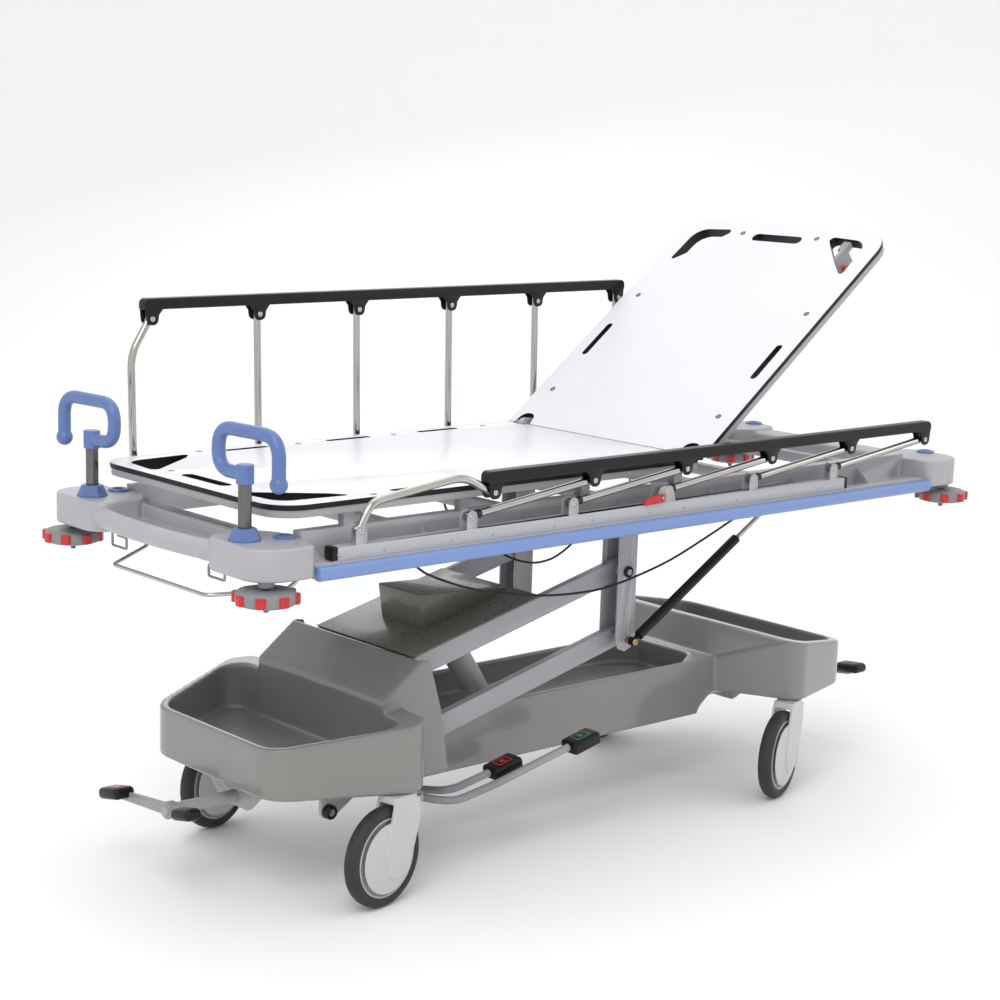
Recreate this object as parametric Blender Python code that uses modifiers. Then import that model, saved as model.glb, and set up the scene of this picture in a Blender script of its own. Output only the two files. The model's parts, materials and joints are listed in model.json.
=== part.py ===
"""Hydraulic stretcher trolley, modelled as an assembly of separate sub-parts.

Units are metres. +X points to the head end, +Y to the side whose rail is up, +Z up.
The origin is on the floor, midway between the bumper rollers and between the sides.
"""

import math

import bmesh
import bpy
from mathutils import Matrix, Vector

# Driving dimensions -------------------------------------------------------------------
GAP = 0.0003                   # between faces that touch
HALF_BUMPER_X = 0.972          # bumper roller axes, along the trolley
HALF_BUMPER_Y = 0.335
BUMPER_RADIUS = 0.052
BUMPER_PAD_RADIUS = 0.0617
DECK_TOP = 0.812
DECK_THICK = 0.006
DECK_HALF_WIDTH = 0.312
DECK_FOOT_X = -0.930
HINGE_X = 0.168
BACKREST_LENGTH = 0.752
BACKREST_HALF_WIDTH = 0.307
BACKREST_ANGLE = math.radians(37.9)
TRAY_DEPTH = 0.0185            # height of the frames under the two boards

RAIL_Y = 0.346                 # centre plane of a side rail
RAIL_PITCH = 0.2645            # between two rail posts
RAIL_FIRST_X = -0.7773         # lower pivot of the foot-end post
RAIL_PIVOT_Z = 0.760
RAIL_LENGTH = 0.324            # post length, pivot to pivot
RAIL_POSTS = 6
RAIL_FOLDED = math.radians(7.3)
RAIL_RAISED = math.radians(91.2)
RAIL_BAR_LOW = 0.019           # underside of the top bar above the upper pivots
RAIL_BAR_HIGH = 0.042

BEAM_Y = 0.285                 # centre of a main beam of the top frame
BEAM_LOW, BEAM_HIGH = 0.700, 0.760
OUTER_TUBE_Y = 0.3475
OUTER_LOW, OUTER_HIGH = 0.685, 0.7115
FRAME_FOOT_X, FRAME_HEAD_X = -0.8695, 0.8655
OUTER_FOOT_X, OUTER_HEAD_X = -0.8845, 0.8715
TILT_AXIS = Vector((0.078, 0.0, 0.700))

ARM_BASE_UPPER = Vector((-0.470, 0.0, 0.4201))
ARM_REACH = Vector((0.548, 0.0, 0.1329))          # base pivot to post pivot
ARM_DROP = Vector((0.0, 0.0, -0.1488))            # upper pivots to lower pivots
ARM_HEIGHT = 0.045
ARM_INNER_Y, ARM_OUTER_Y = 0.1445, 0.1625
POST_INNER_Y, POST_OUTER_Y = 0.1395, 0.192
POST_FRONT_X, POST_WEB_X = 0.0505, 0.105
PUMP_FOOT = Vector((-0.129, 0.0, 0.2125))
PUMP_HEAD = Vector((-0.321, 0.0, 0.500))
TILT_SPRING_FOOT = Vector((0.078, -0.2155, 0.4037))
TILT_SPRING_HEAD = Vector((0.505, -0.2155, 0.6655))
BACK_SPRING_FOOT = Vector((-0.205, 0.100, 0.742))
BACK_SPRING_LEVER = 0.085      # below the backrest hinge, square to the board

CASTOR_STEMS = ((-0.6188, 0.289), (0.5265, 0.284))       # swivel axes: x and |y|
CASTOR_HEADINGS = (10.7, 14.0, 20.7, 16.0)                # degrees, each castor as parked
CASTOR_TRAIL = 0.050
WHEEL_RADIUS = 0.100
WHEEL_HALF_WIDTH = 0.016
CHASSIS_TOP = 0.2495
BRAKE_AXIS_Z = 0.170
PEDAL_AXIS = Vector((-0.490, -0.150, 0.156))
HANDLE_X, HANDLE_Y = -0.969, 0.2635


# Scene ----------------------------------------------------------------------------------
for old in list(bpy.data.objects):
    bpy.data.objects.remove(old, do_unlink=True)
PARTS = bpy.data.collections.new("stretcher_trolley")
bpy.context.scene.collection.children.link(PARTS)


def paint(name, colour, roughness, metallic=0.0):
    material = bpy.data.materials.new(name)
    material.use_nodes = True
    shader = material.node_tree.nodes["Principled BSDF"]
    shader.inputs["Base Color"].default_value = (*colour, 1.0)
    shader.inputs["Roughness"].default_value = roughness
    shader.inputs["Metallic"].default_value = metallic
    return material


LOOKS = {
    "base_grey": ((0.25, 0.245, 0.235), 0.25, 0.0),
    "frame_grey": ((0.46, 0.455, 0.49), 0.45, 0.3),
    "moulding": ((0.60, 0.59, 0.65), 0.5, 0.0),
    "laminate": ((0.84, 0.83, 0.90), 0.4, 0.0),
    "blue": ((0.16, 0.25, 0.60), 0.4, 0.0),
    "strip_blue": ((0.27, 0.42, 0.80), 0.35, 0.0),
    "black": ((0.02, 0.02, 0.021), 0.45, 0.0),
    "chrome": ((0.62, 0.60, 0.58), 0.2, 1.0),
    "steel": ((0.30, 0.30, 0.32), 0.40, 0.2),
    "olive": ((0.11, 0.12, 0.095), 0.4, 0.0),
    "castor_grey": ((0.62, 0.60, 0.63), 0.35, 0.0),
    "tyre": ((0.06, 0.06, 0.065), 0.6, 0.0),
    "bumper_grey": ((0.35, 0.36, 0.37), 0.5, 0.0),
    "red": ((0.75, 0.02, 0.02), 0.35, 0.0),
    "white": ((0.75, 0.75, 0.76), 0.35, 0.0),
}
MATERIALS = {name: paint(name, *look) for name, look in LOOKS.items()}


# Building blocks: each returns an object whose mesh is in world space --------------------
def as_object(mesh, name="piece"):
    obj = bpy.data.objects.new(name, mesh)
    PARTS.objects.link(obj)
    return obj


def from_bmesh(bm):
    mesh = bpy.data.meshes.new("piece")
    bmesh.ops.recalc_face_normals(bm, faces=bm.faces)
    bm.to_mesh(mesh)
    bm.free()
    return as_object(mesh)


def box(low, high):
    """A block between two corners."""
    bm = bmesh.new()
    bmesh.ops.create_cube(bm, size=1.0)
    size = [abs(b - a) for a, b in zip(low, high)]
    middle = [(a + b) / 2 for a, b in zip(low, high)]
    bmesh.ops.scale(bm, vec=size, verts=bm.verts)
    bmesh.ops.translate(bm, vec=middle, verts=bm.verts)
    return from_bmesh(bm)


def rod(start, end, radius, sides=10):
    """A round bar between two points."""
    start, end = Vector(start), Vector(end)
    along = end - start
    bm = bmesh.new()
    bmesh.ops.create_cone(bm, cap_ends=True, segments=sides, radius1=radius, radius2=radius,
                          depth=along.length)
    turn = along.to_track_quat("Z", "Y").to_matrix().to_4x4()
    bmesh.ops.transform(bm, matrix=Matrix.Translation((start + end) / 2) @ turn, verts=bm.verts)
    return from_bmesh(bm)


def bore(start, end, radius, sides=12):
    """A cutter whose flats, and not only its corners, clear a shaft of this radius."""
    return rod(start, end, radius / math.cos(math.pi / sides), sides)


def evaluated_mesh(obj):
    """The object's mesh with its modifiers applied, in world space and with welded caps."""
    graph = bpy.context.evaluated_depsgraph_get()
    graph.update()
    mesh = bpy.data.meshes.new_from_object(obj.evaluated_get(graph))
    mesh.transform(obj.matrix_world)
    bm = bmesh.new()
    bm.from_mesh(mesh)
    bmesh.ops.remove_doubles(bm, verts=bm.verts, dist=0.00001)
    bmesh.ops.recalc_face_normals(bm, faces=bm.faces)
    bm.to_mesh(mesh)
    bm.free()
    mesh.materials.clear()
    return mesh


def baked(obj):
    mesh = evaluated_mesh(obj)
    bpy.data.objects.remove(obj, do_unlink=True)
    return as_object(mesh)


XY = Matrix.Identity(4)                                # outline in X and Y, thick along Z
XZ = Matrix.Rotation(math.radians(90), 4, "X")         # outline in X and Z, thick along Y
YZ = Matrix(((0, 0, 1, 0), (1, 0, 0, 0), (0, 1, 0, 0), (0, 0, 0, 1)))


def plate(outlines, low, high, plane=XY):
    """A flat outline, with any further outlines as holes, between two levels."""
    curve = bpy.data.curves.new("outline", "CURVE")
    curve.dimensions = "2D"
    curve.fill_mode = "BOTH"
    curve.render_resolution_u = 0
    curve.extrude = abs(high - low) / 2
    for outline in outlines:
        spline = curve.splines.new("POLY")
        spline.points.add(len(outline) - 1)
        for point, (u, v) in zip(spline.points, outline):
            point.co = (u, v, 0.0, 1.0)
        spline.use_cyclic_u = True
    obj = as_object(curve)
    level = (low + high) / 2
    side = -1.0 if plane is XZ else 1.0                # the XZ plane's normal is -Y
    obj.matrix_world = plane @ Matrix.Translation((0.0, 0.0, side * level))
    bpy.context.view_layer.update()
    return baked(obj)


def tube(points, radius, resolution=2):
    """A bent round bar along a polyline."""
    curve = bpy.data.curves.new("path", "CURVE")
    curve.dimensions = "3D"
    curve.render_resolution_u = 0
    curve.bevel_depth = radius
    curve.bevel_resolution = resolution
    curve.use_fill_caps = True
    spline = curve.splines.new("POLY")
    spline.points.add(len(points) - 1)
    for node, point in zip(spline.points, points):
        node.co = (*point, 1.0)
    return baked(as_object(curve))


def turned(profile, sides, closed=True):
    """A ring or disc about Z, from (radius, z) points that run down the outer side."""
    mesh = bpy.data.meshes.new("profile")
    count = len(profile)
    edges = [(i, i + 1) for i in range(count - 1)]
    if closed:
        edges.append((count - 1, 0))
    mesh.from_pydata([(r, 0.0, z) for r, z in profile], edges, [])
    obj = as_object(mesh)
    screw = obj.modifiers.new("turn", "SCREW")
    screw.steps = screw.render_steps = sides
    screw.use_merge_vertices = True
    screw.merge_threshold = 0.00001
    return baked(obj)


def rounded(corners, steps=2):
    """Replace each (u, v, radius) corner by an arc; a corner without a radius stays sharp."""
    result = []
    count = len(corners)
    for i, corner in enumerate(corners):
        here = Vector(corner[:2])
        radius = corner[2] if len(corner) > 2 else 0.0
        if radius == 0.0:
            result.append(tuple(here))
            continue
        before = (Vector(corners[i - 1][:2]) - here).normalized()
        after = (Vector(corners[(i + 1) % count][:2]) - here).normalized()
        half = before.angle(after) / 2
        centre = here + (before + after).normalized() * radius / math.sin(half)
        start = here + before * radius / math.tan(half) - centre
        end = here + after * radius / math.tan(half) - centre
        sweep = start.angle_signed(end)
        for k in range(steps + 1):
            turn = Matrix.Rotation(-sweep * k / steps, 2)
            result.append(tuple(centre + turn @ start))
    return result


def mirrored(outline):
    """Close a symmetric outline from its half, given from one end of the X axis to the other."""
    return outline + [(x, -y, *rest) for x, y, *rest in reversed(outline) if abs(y) > 1e-6]


def bent(points, radius, steps=3):
    """Round the inner corners of a 3-D polyline."""
    points = [Vector(p) for p in points]
    result = [points[0]]
    for before, here, after in zip(points, points[1:], points[2:]):
        back = (before - here).normalized()
        ahead = (after - here).normalized()
        reach = min(radius / math.tan(back.angle(ahead) / 2),
                    (before - here).length / 2.05, (after - here).length / 2.05)
        start, end = here + back * reach, here + ahead * reach
        for k in range(steps + 1):
            t = k / steps
            result.append(start * (1 - t) ** 2 + here * 2 * t * (1 - t) + end * t * t)
    result.append(points[-1])
    return result


def slot_outline(u0, u1, v, half_width, steps=3):
    """A round-ended slot along the first axis."""
    w = half_width
    return rounded([(u0 - w, v - w, w), (u1 + w, v - w, w),
                    (u1 + w, v + w, w), (u0 - w, v + w, w)], steps)


def boolean(target, tools, operation):
    for tool in tools:
        modifier = target.modifiers.new("join", "BOOLEAN")
        modifier.operation = operation
        modifier.solver = "EXACT"
        modifier.object = tool
    bpy.context.view_layer.update()
    result = baked(target)
    for tool in tools:
        bpy.data.objects.remove(tool, do_unlink=True)
    return result


def union(pieces):
    return boolean(pieces[0], pieces[1:], "UNION")


def cut(target, tools):
    return boolean(target, tools, "DIFFERENCE")


def bevelled(obj, width, segments=1, angle=35.0):
    modifier = obj.modifiers.new("edges", "BEVEL")
    modifier.width = width
    modifier.segments = segments
    modifier.limit_method = "ANGLE"
    modifier.angle_limit = math.radians(angle)
    modifier.harden_normals = False
    return baked(obj)


def move(obj, matrix):
    obj.data.transform(matrix)
    return obj


def finish(obj, name, look, origin=(0.0, 0.0, 0.0), smooth=True):
    """Name the piece, give it its material and put its origin on its joint's axis."""
    origin = Vector(origin)
    obj.data.transform(Matrix.Translation(-origin))
    obj.location = origin
    obj.name = obj.data.name = name
    obj.data.materials.append(MATERIALS[look])
    if smooth:
        obj.data.shade_smooth()
        obj.data.set_sharp_from_angle(angle=math.radians(35))
    return obj


def twin(obj, name, location):
    """A second piece of the same shape."""
    other = bpy.data.objects.new(name, obj.data)
    other.location = location
    PARTS.objects.link(other)
    return other


# Base -----------------------------------------------------------------------------------
def base_cover():
    """The moulded cover: foot basin, hump over the arm pivots, narrow middle, head tray."""
    basin_half = [(-0.868, 0.0), (-0.868, 0.205, 0.070), (-0.600, 0.322, 0.040),
                  (-0.560, 0.290, 0.02), (-0.545, 0.0)]
    basin = plate([rounded(mirrored(basin_half), 4)], 0.218, 0.360)
    slope = box((-1.0, -0.5, 0.0), (-0.3, 0.5, 0.10))
    tilt = math.atan2(0.355 - 0.320, 0.868 - 0.600)
    move(slope, Matrix.Translation((-0.868, 0.0, 0.320)) @ Matrix.Rotation(-tilt, 4, "Y")
         @ Matrix.Translation((0.868, 0.0, 0.0)))
    basin = cut(basin, [slope])
    basin = bevelled(basin, 0.007, 1)

    hump_side = rounded([(-0.620, 0.230), (-0.608, 0.375, 0.03), (-0.510, 0.449, 0.012),
                         (-0.487, 0.445), (-0.455, 0.340), (-0.4315, 0.206), (-0.602, 0.206)])
    hump = plate([hump_side], -0.215, 0.215, XZ)

    middle = box((-0.440, -0.1385, 0.172), (0.500, 0.1385, 0.302))
    nose = plate([rounded([(0.366, 0.10), (0.380, 0.184, 0.05), (0.430, 0.2195, 0.05), (0.70, 0.2195),
                           (0.70, 0.10)])], -0.3, 0.3, XZ)

    head = plate([rounded(mirrored([(0.430, 0.0), (0.430, 0.140), (0.520, 0.318, 0.036),
                                    (0.752, 0.252, 0.060), (0.752, 0.0)]), 4)], 0.218, 0.358)
    fall = box((0.2, -0.5, 0.0), (1.2, 0.5, 0.1))
    move(fall, Matrix.Translation((0.508, 0.0, 0.358))
         @ Matrix.Rotation(math.atan2(0.040, 0.244), 4, "Y") @ Matrix.Translation((-0.508, 0, 0)))
    crest = box((0.2, -0.5, 0.0), (0.508, 0.5, 0.3))
    move(crest, Matrix.Translation((0.508, 0, 0.358)) @ Matrix.Rotation(-0.62, 4, "Y")
         @ Matrix.Translation((-0.508, 0, 0)))
    head = bevelled(cut(head, [fall, crest]), 0.006, 1)

    shell = union([cut(middle, [nose]), basin, hump, head])

    basin_hollow = [(-0.852, 0.0), (-0.852, 0.190, 0.058), (-0.606, 0.303, 0.040),
                    (-0.602, 0.240, 0.01), (-0.606, 0.0)]
    head_hollow = [(0.540, 0.0), (0.540, 0.285, 0.035), (0.735, 0.232, 0.050), (0.735, 0.0)]
    trough = [(-0.43, 0.0), (-0.43, 0.126), (0.330, 0.126, 0.02), (0.400, 0.080, 0.02),
              (0.400, 0.0)]
    hollows = [
        plate([rounded(mirrored(basin_hollow), 4)], 0.2545, 0.5),
        plate([rounded(mirrored(head_hollow), 4)], 0.2850, 0.5),
        plate([rounded(mirrored(trough), 2)], 0.2440, 0.5),
        # room for the arms behind the hump's sloping front, open to the head end
        plate([[(-0.602, 0.2475), (-0.602, 0.372), (-0.509, 0.4425), (-0.503, 0.50),
                (-0.420, 0.50), (-0.420, 0.2475)]], -0.208, 0.208, XZ),
        *[box((back, low, 0.10), (-0.420, high, 0.26))
          for back, low, high in ((-0.540, -0.208, -0.1405), (-0.602, -0.134, 0.134),
                                  (-0.540, 0.1405, 0.208))],
        # the underside of the basin, the middle and the head tray
        plate([rounded(mirrored([(-0.860, 0.0), (-0.860, 0.198, 0.062), (-0.600, 0.313, 0.030),
                                 (-0.568, 0.28), (-0.568, 0.0)]), 4)], 0.10, 0.2505),
        box((-0.60, -0.134, 0.10), (0.535, 0.134, 0.2395)),
        plate([rounded(mirrored([(0.4325, 0.0), (0.4325, 0.1350), (0.5235, 0.3125, 0.028),
                                 (0.744, 0.2465, 0.055), (0.744, 0.0)]), 4)], 0.10, 0.2800),
        # the pump leans through a slot in the trough's floor
        plate([slot_outline(-0.185, -0.125, 0.0, 0.044)], 0.20, 0.30),
    ]
    finish(cut(shell, hollows), "base_cover", "base_grey")


def chassis_frame():
    """Welded frame under the cover: spine tubes, cross tubes, castor housings, pivot cheeks."""
    cross_low = 0.2205
    pieces = [box((-0.800, -0.095, 0.195), (0.600, -0.055, 0.235))]
    pieces.append(box((-0.800, 0.055, 0.195), (0.600, 0.095, 0.235)))
    for x, y in CASTOR_STEMS:
        pieces.append(box((x - 0.0125, 0.006 - y, cross_low), (x + 0.0125, y - 0.006, CHASSIS_TOP - 0.004)))
    pieces.append(box((-0.500, -0.130, 0.198), (-0.440, 0.130, 0.232)))
    for side in (-1, 1):
        cheek = rounded([(-0.500, 0.21), (-0.490, 0.4395, 0.0175), (-0.450, 0.4395, 0.0175),
                         (-0.440, 0.21)])
        pieces.append(plate([cheek], side * 0.1235, side * 0.1315, XZ))
    # pump foot bracket and brake shaft hangers
    pieces.append(box((-0.160, -0.060, 0.1975), (-0.098, -0.034, 0.2325)))
    pieces.append(box((-0.160, 0.034, 0.1975), (-0.098, 0.060, 0.2325)))
    hanger = rounded([(-0.130, 0.225), (-0.045, 0.150, 0.01), (0.045, 0.150, 0.01), (0.130, 0.225)])
    for x in (-0.8035, 0.6035):
        pieces.append(plate([hanger], x - 0.004, x + 0.004, YZ))
    # hanger for the pedal shaft, and the bush bracket by the foot castor
    pieces.append(box((-0.515, -0.112, 0.140), (-0.465, -0.104, 0.225)))
    pieces.append(box((-0.515, -0.112, 0.197), (-0.465, -0.080, 0.205)))
    pieces.append(rod(PEDAL_AXIS + Vector((0, 0.045, 0)), PEDAL_AXIS + Vector((0, -0.048, 0)), 0.0078))
    bush = rounded([(-0.764, 0.232), (-0.765, 0.175, 0.01), (-0.730, 0.175, 0.01), (-0.645, 0.232)])
    pieces.append(plate([bush], -0.228, -0.222, XZ))
    pieces.append(box((-0.760, -0.2275, 0.2205), (-0.640, -0.090, 0.2325)))
    pieces.append(rod((-0.747, -0.2205, 0.188), (-0.747, -0.240, 0.188), 0.014))
    bores = []
    for x, y in CASTOR_STEMS:
        for y in (-y, y):
            pieces.append(rod((x, y, cross_low), (x, y, CHASSIS_TOP), 0.0144, 8))
            bores.append(bore((x, y, 0.20), (x, y, 0.26), 0.0103, 8))
    pivots = (ARM_BASE_UPPER, ARM_BASE_UPPER + ARM_DROP)
    bores += [bore(p + Vector((0, -0.2, 0)), p + Vector((0, 0.2, 0)), 0.0134) for p in pivots]
    bores += [bore((x - 0.02, 0.0, BRAKE_AXIS_Z), (x + 0.02, 0.0, BRAKE_AXIS_Z), 0.0129)
              for x in (-0.8035, 0.6035)]
    bores.append(rod((-0.747, -0.20, 0.188), (-0.747, -0.26, 0.188), 0.007, 6))
    bores.append(bore(PUMP_FOOT + Vector((0, -0.07, 0)), PUMP_FOOT + Vector((0, 0.07, 0)), 0.0083))
    finish(cut(union(pieces), bores), "chassis_frame", "frame_grey")


def castors():
    """Four swivel forks and four wheels; each fork's origin is on its swivel axis."""
    axle = Vector((-CASTOR_TRAIL, 0.0, WHEEL_RADIUS))
    leg = rounded([(0.034, 0.2045), (0.034, 0.165), (axle.x + 0.016, 0.088, 0.014),
                   (axle.x - 0.017, 0.088, 0.014), (-0.050, 0.150), (-0.040, 0.2045)], 2)
    crown = rounded([(-0.040, -0.0245), (0.034, -0.0245, 0.022), (0.034, 0.0245, 0.022),
                     (-0.040, 0.0245)], 2)
    fork = union([
        plate([crown], 0.2035, 0.2175),
        plate([leg], 0.0182, 0.0242, XZ),
        plate([leg], -0.0242, -0.0182, XZ),
        rod(axle + Vector((0, 0.0180, 0)), axle + Vector((0, 0.0206, 0)), 0.0720, 20),
        rod(axle + Vector((0, -0.0206, 0)), axle + Vector((0, -0.0180, 0)), 0.0720, 20),
        rod((0, 0, 0.210), (0, 0, 0.2445), 0.0100, 8),
        rod(axle + Vector((0, -0.0215, 0)), axle + Vector((0, 0.0215, 0)), 0.0060, 8),
    ])
    w = WHEEL_HALF_WIDTH
    rim = WHEEL_RADIUS / math.cos(math.radians(9))
    wheel = turned([(0.0066, w), (0.092, w), (rim, w * 0.5), (rim, -w * 0.5),
                    (0.092, -w), (0.0066, -w)], 20)
    move(wheel, Matrix.Rotation(math.radians(90), 4, "X") @ Matrix.Rotation(math.radians(9), 4, "Z"))
    finish(fork, "fork_pattern", "castor_grey")
    finish(wheel, "wheel_pattern", "tyre")
    places = [(x, side * y) for x, y in CASTOR_STEMS for side in (-1, 1)]
    tags = ("foot_right", "foot_left", "head_right", "head_left")
    for tag, (x, y), heading in zip(tags, places, CASTOR_HEADINGS):
        heading = math.radians(heading)
        turn = Matrix.Rotation(heading, 3, "Z")
        stem = Vector((x, y, 0.0))
        twin(fork, f"castor_fork_{tag}", stem).rotation_euler.z = heading
        twin(wheel, f"castor_wheel_{tag}", stem + turn @ axle).rotation_euler.z = heading
    bpy.data.objects.remove(fork, do_unlink=True)
    bpy.data.objects.remove(wheel, do_unlink=True)


def brake_shaft():
    """Central brake: one long shaft with a two-pad rocker at each end."""
    z = BRAKE_AXIS_Z
    pieces = [rod((-0.972, 0, z), (0.962, 0, z), 0.0125, 12)]
    tilt = Matrix.Rotation(math.radians(-5.4), 4, "X")
    about = Matrix.Translation((0, 0, z))
    for end in (-1, 1):
        x = end * 0.958
        near, far = (-0.076, 0.178) if end < 0 else (-0.104, 0.104)
        arm = box((x - 0.004, near, z - 0.010), (x + 0.004, far, z + 0.012))
        pieces.append(move(arm, about @ tilt @ about.inverted()))
        middle = x + end * 0.012
        for y in (near, far):
            corners = [(middle - 0.024, y - 0.036, 0.014), (middle + 0.024, y - 0.036, 0.014),
                       (middle + 0.024, y + 0.036, 0.014), (middle - 0.024, y + 0.036, 0.014)]
            pad = plate([rounded(corners, 2)], z - 0.006, z + 0.020)
            pieces.append(move(pad, about @ tilt @ about.inverted()))
    finish(union(pieces), "brake_shaft", "steel", (0.0, 0.0, z))


def pump_pedals():
    """Two foot levers on one cross shaft: the far-reaching one raises, the other lowers."""
    routes = {
        "pedal_lower": [(-0.490, -0.133, 0.156), (-0.450, -0.133, 0.150), (-0.410, -0.190, 0.153),
                        (-0.300, -0.206, 0.182)],
        "pedal_raise": [(-0.490, -0.174, 0.156), (-0.465, -0.205, 0.150), (-0.430, -0.236, 0.148),
                        (-0.330, -0.245, 0.168), (-0.120, -0.250, 0.216)],
    }
    for name, route in routes.items():
        end = Vector(route[-1])
        sleeve_y = route[0][1]
        sleeve = rod((PEDAL_AXIS.x, sleeve_y - 0.018, PEDAL_AXIS.z),
                     (PEDAL_AXIS.x, sleeve_y + 0.018, PEDAL_AXIS.z), 0.0135)
        pad = box((-0.038, -0.024, -0.016), (0.040, 0.024, 0.014))
        pad = bevelled(pad, 0.007, 1)
        move(pad, Matrix.Translation(end + Vector((0.020, 0, 0.004))) @ Matrix.Rotation(-0.22, 4, "Y"))
        lever = union([tube(bent(route, 0.03), 0.0085), sleeve, pad])
        hole = bore((PEDAL_AXIS.x, -0.3, PEDAL_AXIS.z), (PEDAL_AXIS.x, 0.0, PEDAL_AXIS.z), 0.0081)
        finish(cut(lever, [hole]), name, "steel", (PEDAL_AXIS.x, sleeve_y, PEDAL_AXIS.z))


# Lift -----------------------------------------------------------------------------------
def arm_plate(start, side):
    """One flat arm of box tube from its base pivot to its post pivot."""
    half = ARM_HEIGHT / 2
    along = ARM_REACH.normalized()
    across = Vector((-along.z, 0.0, along.x))
    first = start - along * half * 0.98
    last = start + ARM_REACH + along * half * 0.98
    corners = [first - across * half, last - across * half, last + across * half, first + across * half]
    outline = rounded([(c.x, c.z, half * 0.9) for c in corners], 4)
    return plate([outline], side * ARM_INNER_Y, side * ARM_OUTER_Y, XZ)


def on_arm(along, across):
    """A point in the arm's own plane, from the upper base pivot."""
    u = ARM_REACH.normalized()
    n = Vector((-u.z, 0.0, u.x))
    return ARM_BASE_UPPER + u * along + n * across


def lift_arms():
    slope = Matrix.Rotation(-math.atan2(ARM_REACH.z, ARM_REACH.x), 4, "Y")
    for name, start in (("upper_lift_arms", ARM_BASE_UPPER),
                        ("lower_lift_arms", ARM_BASE_UPPER + ARM_DROP)):
        pieces = [arm_plate(start, side) for side in (-1, 1)]
        pieces.append(rod(start + Vector((0, -0.150, 0)), start + Vector((0, 0.150, 0)), 0.0130))
        if name == "upper_lift_arms":
            for along in (0.060, 0.310):
                bar = box((-0.015, -0.150, -0.015), (0.015, 0.150, 0.015))
                pieces.append(move(bar, Matrix.Translation(on_arm(along, 0.0)) @ slope))
            horn = [on_arm(*p) for p in ((0.300, -0.012), (0.318, -0.012), (0.318, 0.010),
                                         (0.175, 0.060), (0.150, 0.060), (0.150, 0.032), (0.180, 0.020))]
            for side in (-1, 1):
                pieces.append(plate([[(p.x, p.z) for p in horn]], side * 0.017, side * 0.023, XZ))
        bores = [bore(start + ARM_REACH + Vector((0, -0.2, 0)), start + ARM_REACH + Vector((0, 0.2, 0)),
                      0.0084)]
        finish(cut(union(pieces), bores), name, "frame_grey", start)


def lift_cover():
    """Thin cover over the upper arms with a wedge-shaped hump over the pump's ram."""
    level = ARM_HEIGHT / 2 + 0.0006
    thick = 0.0025

    def wedge(shrink, drop):
        foot, head = 0.095 + shrink, 0.330 - shrink * 2
        side = [on_arm(foot - 0.006, level - drop), on_arm(head, level - drop),
                on_arm(head, level + thick + 0.006 - shrink), on_arm(foot, 0.100 - shrink)]
        piece = plate([[(p.x, p.z) for p in side]], -0.069 + shrink, 0.069 - shrink, XZ)
        return piece

    sheet_side = [on_arm(-0.014, level), on_arm(0.338, level), on_arm(0.338, level + thick),
                  on_arm(-0.014, level + thick)]
    sheet = plate([[(p.x, p.z) for p in sheet_side]], -0.1620, 0.1620, XZ)
    hump = bevelled(wedge(0.0, 0.0), 0.010, 2, 50.0)
    finish(cut(union([sheet, hump]), [wedge(0.0035, 0.01)]), "lift_cover", "olive", ARM_BASE_UPPER)


def lift_posts():
    """Two channels, open to the foot end, joined at the top and carrying the tilt shaft."""
    upper = ARM_BASE_UPPER + ARM_REACH
    lower = upper + ARM_DROP
    radius = (POST_WEB_X - POST_FRONT_X) / 2
    flange = rounded([(POST_FRONT_X, TILT_AXIS.z + radius, radius * 0.95),
                      (POST_FRONT_X, lower.z - radius, radius * 0.95),
                      (POST_WEB_X, lower.z - radius, radius * 0.95),
                      (POST_WEB_X, TILT_AXIS.z + radius, radius * 0.95)])
    pieces = []
    for side in (-1, 1):
        pieces.append(plate([flange], side * POST_INNER_Y, side * (POST_INNER_Y + 0.0038), XZ))
        pieces.append(plate([flange], side * (POST_OUTER_Y - 0.0038), side * POST_OUTER_Y, XZ))
        pieces.append(box((POST_WEB_X - 0.0038, side * POST_INNER_Y, lower.z),
                          (POST_WEB_X - 0.0002, side * POST_OUTER_Y, TILT_AXIS.z)))
        for pivot in (upper, lower):
            pieces.append(rod(pivot + Vector((0, side * (POST_INNER_Y + 0.002), 0)),
                              pivot + Vector((0, side * (ARM_OUTER_Y + 0.002), 0)), 0.0080, 8))
            pieces.append(rod(pivot + Vector((0, side * (ARM_OUTER_Y + 0.0006), 0)),
                              pivot + Vector((0, side * (POST_OUTER_Y + 0.006), 0)), 0.0115, 8))
    pieces.append(box((0.062, -0.145, 0.640), (0.092, 0.145, 0.665)))
    pieces.append(rod(TILT_AXIS + Vector((0, -0.270, 0)), TILT_AXIS + Vector((0, 0.270, 0)), 0.0125, 12))
    # stud that carries the tilt spring's eye
    pieces.append(rod((lower.x, -POST_OUTER_Y, lower.z), (lower.x, -0.2235, lower.z), 0.0050, 8))
    finish(union(pieces), "lift_posts", "frame_grey", upper)


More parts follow.
